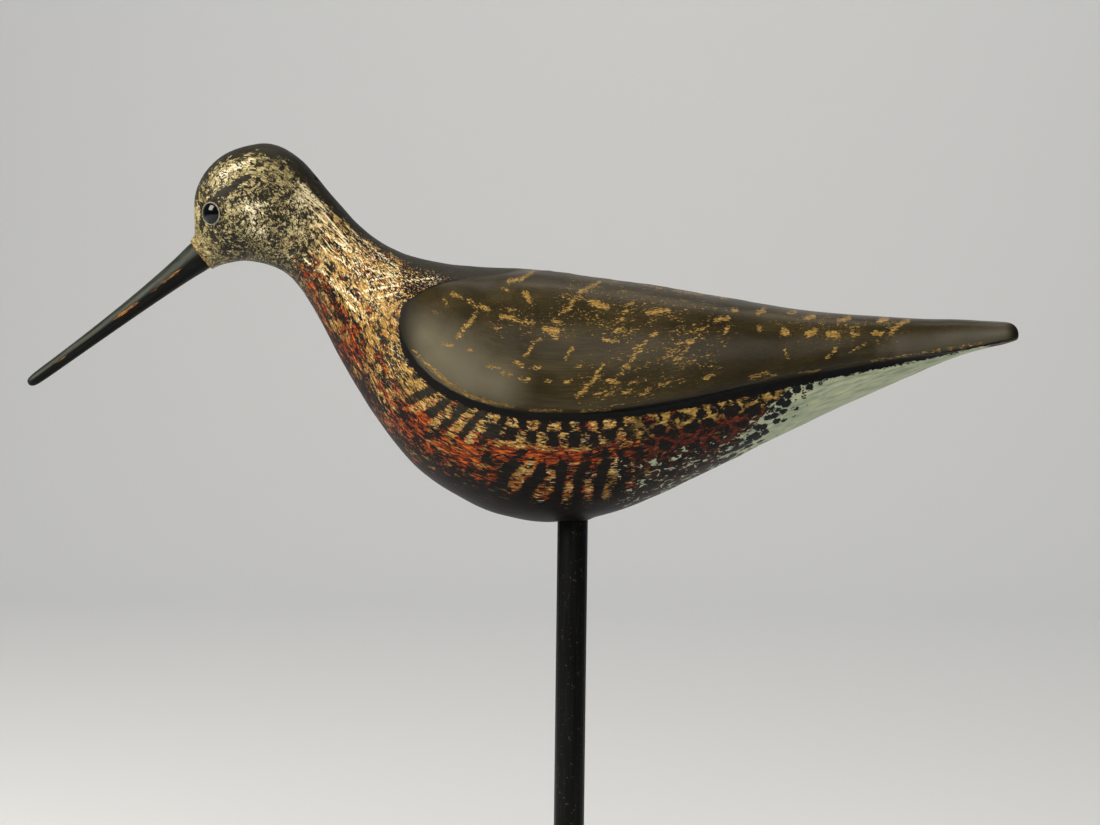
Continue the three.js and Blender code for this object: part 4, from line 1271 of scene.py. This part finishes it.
def plain_dowel():
    length = dowel_high.z - dowel_low.z
    bpy.ops.mesh.primitive_cylinder_add(
        vertices=DOWEL_SIDES, radius=dowel_radius, depth=length, location=(0, 0, dowel_low.z + length / 2),
    )
    dowel = bpy.context.object
    dowel.name = "black_dowel"
    settled(dowel)
    bpy.ops.object.mode_set(mode="EDIT")
    bpy.ops.mesh.select_all(action="SELECT")
    bpy.ops.mesh.bevel(offset=DOWEL_BEVEL, segments=2, affect="EDGES", clamp_overlap=True)
    bpy.ops.object.mode_set(mode="OBJECT")
    return dowel


def foot_outline():
    """The foot's section, from its underside out and up to its top's middle."""
    radius = foot_high.x
    top = foot_high.z
    points = [(0, 0), (radius - FOOT_BEVEL * 2, 0), (radius - FOOT_BEVEL, 0)]
    points += [(radius - FOOT_BEVEL * (1 - math.sin(a)), FOOT_BEVEL * (1 - math.cos(a)))
               for a in (math.pi / 6, math.pi / 3)]
    points += [(radius, FOOT_BEVEL), (radius, top - FOOT_ROUNDING)]
    for i in range(1, ARC_STEPS + 1):
        angle = math.pi / 2 * i / ARC_STEPS
        inward = FOOT_ROUNDING * (1 - math.cos(angle))
        down = FOOT_ROUNDING * (1 - math.sin(angle))
        points.append((radius - inward, top - down))
    points += [(radius * 0.5, top), (0, top)]
    return points


def stand_paint(name, along_axis):
    """Satin black brushed on wood. The brush went along the dowel, and across the foot."""
    material, tree, shader = new_material(name, Roughness=0.32, Specular_IOR_Level=0.08)
    place = object_mm(tree)
    brushed = place
    if along_axis:
        brushed = add(tree, "Mapping", {"Vector": place, "Rotation": (0, math.radians(90), 0)})
    streaks = brush_marks(tree, brushed, 26, 0.8, 81, detail=3)
    colour = add(tree, "ValToRGB", {0: streaks}, chips=("#060707", "#0a0b0b", "#101211"))
    specks = brush_marks(tree, place, 0.9, 0.8, 82, detail=2)
    colour, _ = laid_on(tree, colour, paint("#8c7a66"), 0.03, specks)
    coat(tree, shader, colour, streaks, strength=0.3, depth=0.06 * MM)
    return material


dowel = plain_dowel()
finished(dowel, stand_paint("black_paint_on_dowel", True), "stand_dowel")
foot = spun("turned_foot", foot_outline(), FOOT_TURNS)
finished(foot, stand_paint("black_paint_on_foot", False), "stand_foot")

# %% [markdown]
# ## The stage
#
# A pale sweep that runs from floor to wall without an edge, a large soft light from the front left and
# above, a weaker one from in front and above, and one aimed at the wall behind.

# %% The sweep
SWEEP_WIDTH = 6.0
SWEEP_FRONT = -2.5
SWEEP_BACK = 2.2
SWEEP_HEIGHT = 2.6
SWEEP_RADIUS = 0.9
SWEEP_SEGMENTS = 24
NEAR = 0.001

bpy.ops.mesh.primitive_plane_add(size=1, location=(0, (SWEEP_FRONT + SWEEP_BACK) / 2, 0))
sweep = bpy.context.object
sweep.name = "sweep"
sweep.scale = (SWEEP_WIDTH, SWEEP_BACK - SWEEP_FRONT, 1)
settled(sweep)
bpy.ops.object.mode_set(mode="EDIT")
bpy.ops.mesh.select_mode(type="EDGE")
bpy.ops.mesh.select_all(action="DESELECT")
bpy.ops.object.mode_set(mode="OBJECT")
for edge in sweep.data.edges:
    ends = [sweep.data.vertices[v].co.y for v in edge.vertices]
    edge.select = min(ends) > SWEEP_BACK - NEAR
bpy.ops.object.mode_set(mode="EDIT")
bpy.ops.mesh.extrude_region_move(TRANSFORM_OT_translate={"value": (0, 0, SWEEP_HEIGHT)})
bpy.ops.mesh.select_all(action="DESELECT")
bpy.ops.object.mode_set(mode="OBJECT")
for edge in sweep.data.edges:
    ends = [sweep.data.vertices[v].co for v in edge.vertices]
    edge.select = all(end.y > SWEEP_BACK - NEAR and end.z < NEAR for end in ends)
bpy.ops.object.mode_set(mode="EDIT")
bpy.ops.mesh.bevel(offset=SWEEP_RADIUS, segments=SWEEP_SEGMENTS, affect="EDGES")
bpy.ops.object.mode_set(mode="OBJECT")
bpy.ops.object.shade_smooth()
backdrop, _, _ = new_material("matt_backdrop_paper", Base_Color=paint("#e0e5ec"), Roughness=0.9)
sweep.data.materials.append(backdrop)

# %% The light
LIGHT_COLOUR = "#fff5e6"
WORLD_COLOUR = "#e4ebf0"
WORLD_STRENGTH = 0.14
bird_middle = sum(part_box("carved_bird"), Vector()) / 2
LIGHTS = [  # name, place, what it points at, size in m, power in W
    ("key", Vector((-0.85, -0.5, 0.85)), bird_middle, 0.6, 20),
    ("fill", Vector((0.25, -1.0, 1.05)), bird_middle, 0.8, 9),
    ("wall", Vector((0.2, 0.9, 2.0)), Vector((0, 2.2, 0.7)), 0.8, 14),
]
for name, place, target, size, power in LIGHTS:
    away = (place - target).to_track_quat("Z", "Y").to_euler()
    bpy.ops.object.light_add(type="AREA", location=place, rotation=away)
    light = bpy.context.object
    light.name = name
    light.data.shape = "SQUARE"
    light.data.size = size
    light.data.energy = power
    light.data.color = paint(LIGHT_COLOUR)[:3]
world = bpy.data.worlds.new("studio")
bpy.context.scene.world = world
world.use_nodes = True
background = world.node_tree.nodes["Background"]
background.inputs["Color"].default_value = paint(WORLD_COLOUR)
background.inputs["Strength"].default_value = WORLD_STRENGTH
bpy.context.scene.view_settings.view_transform = "Standard"
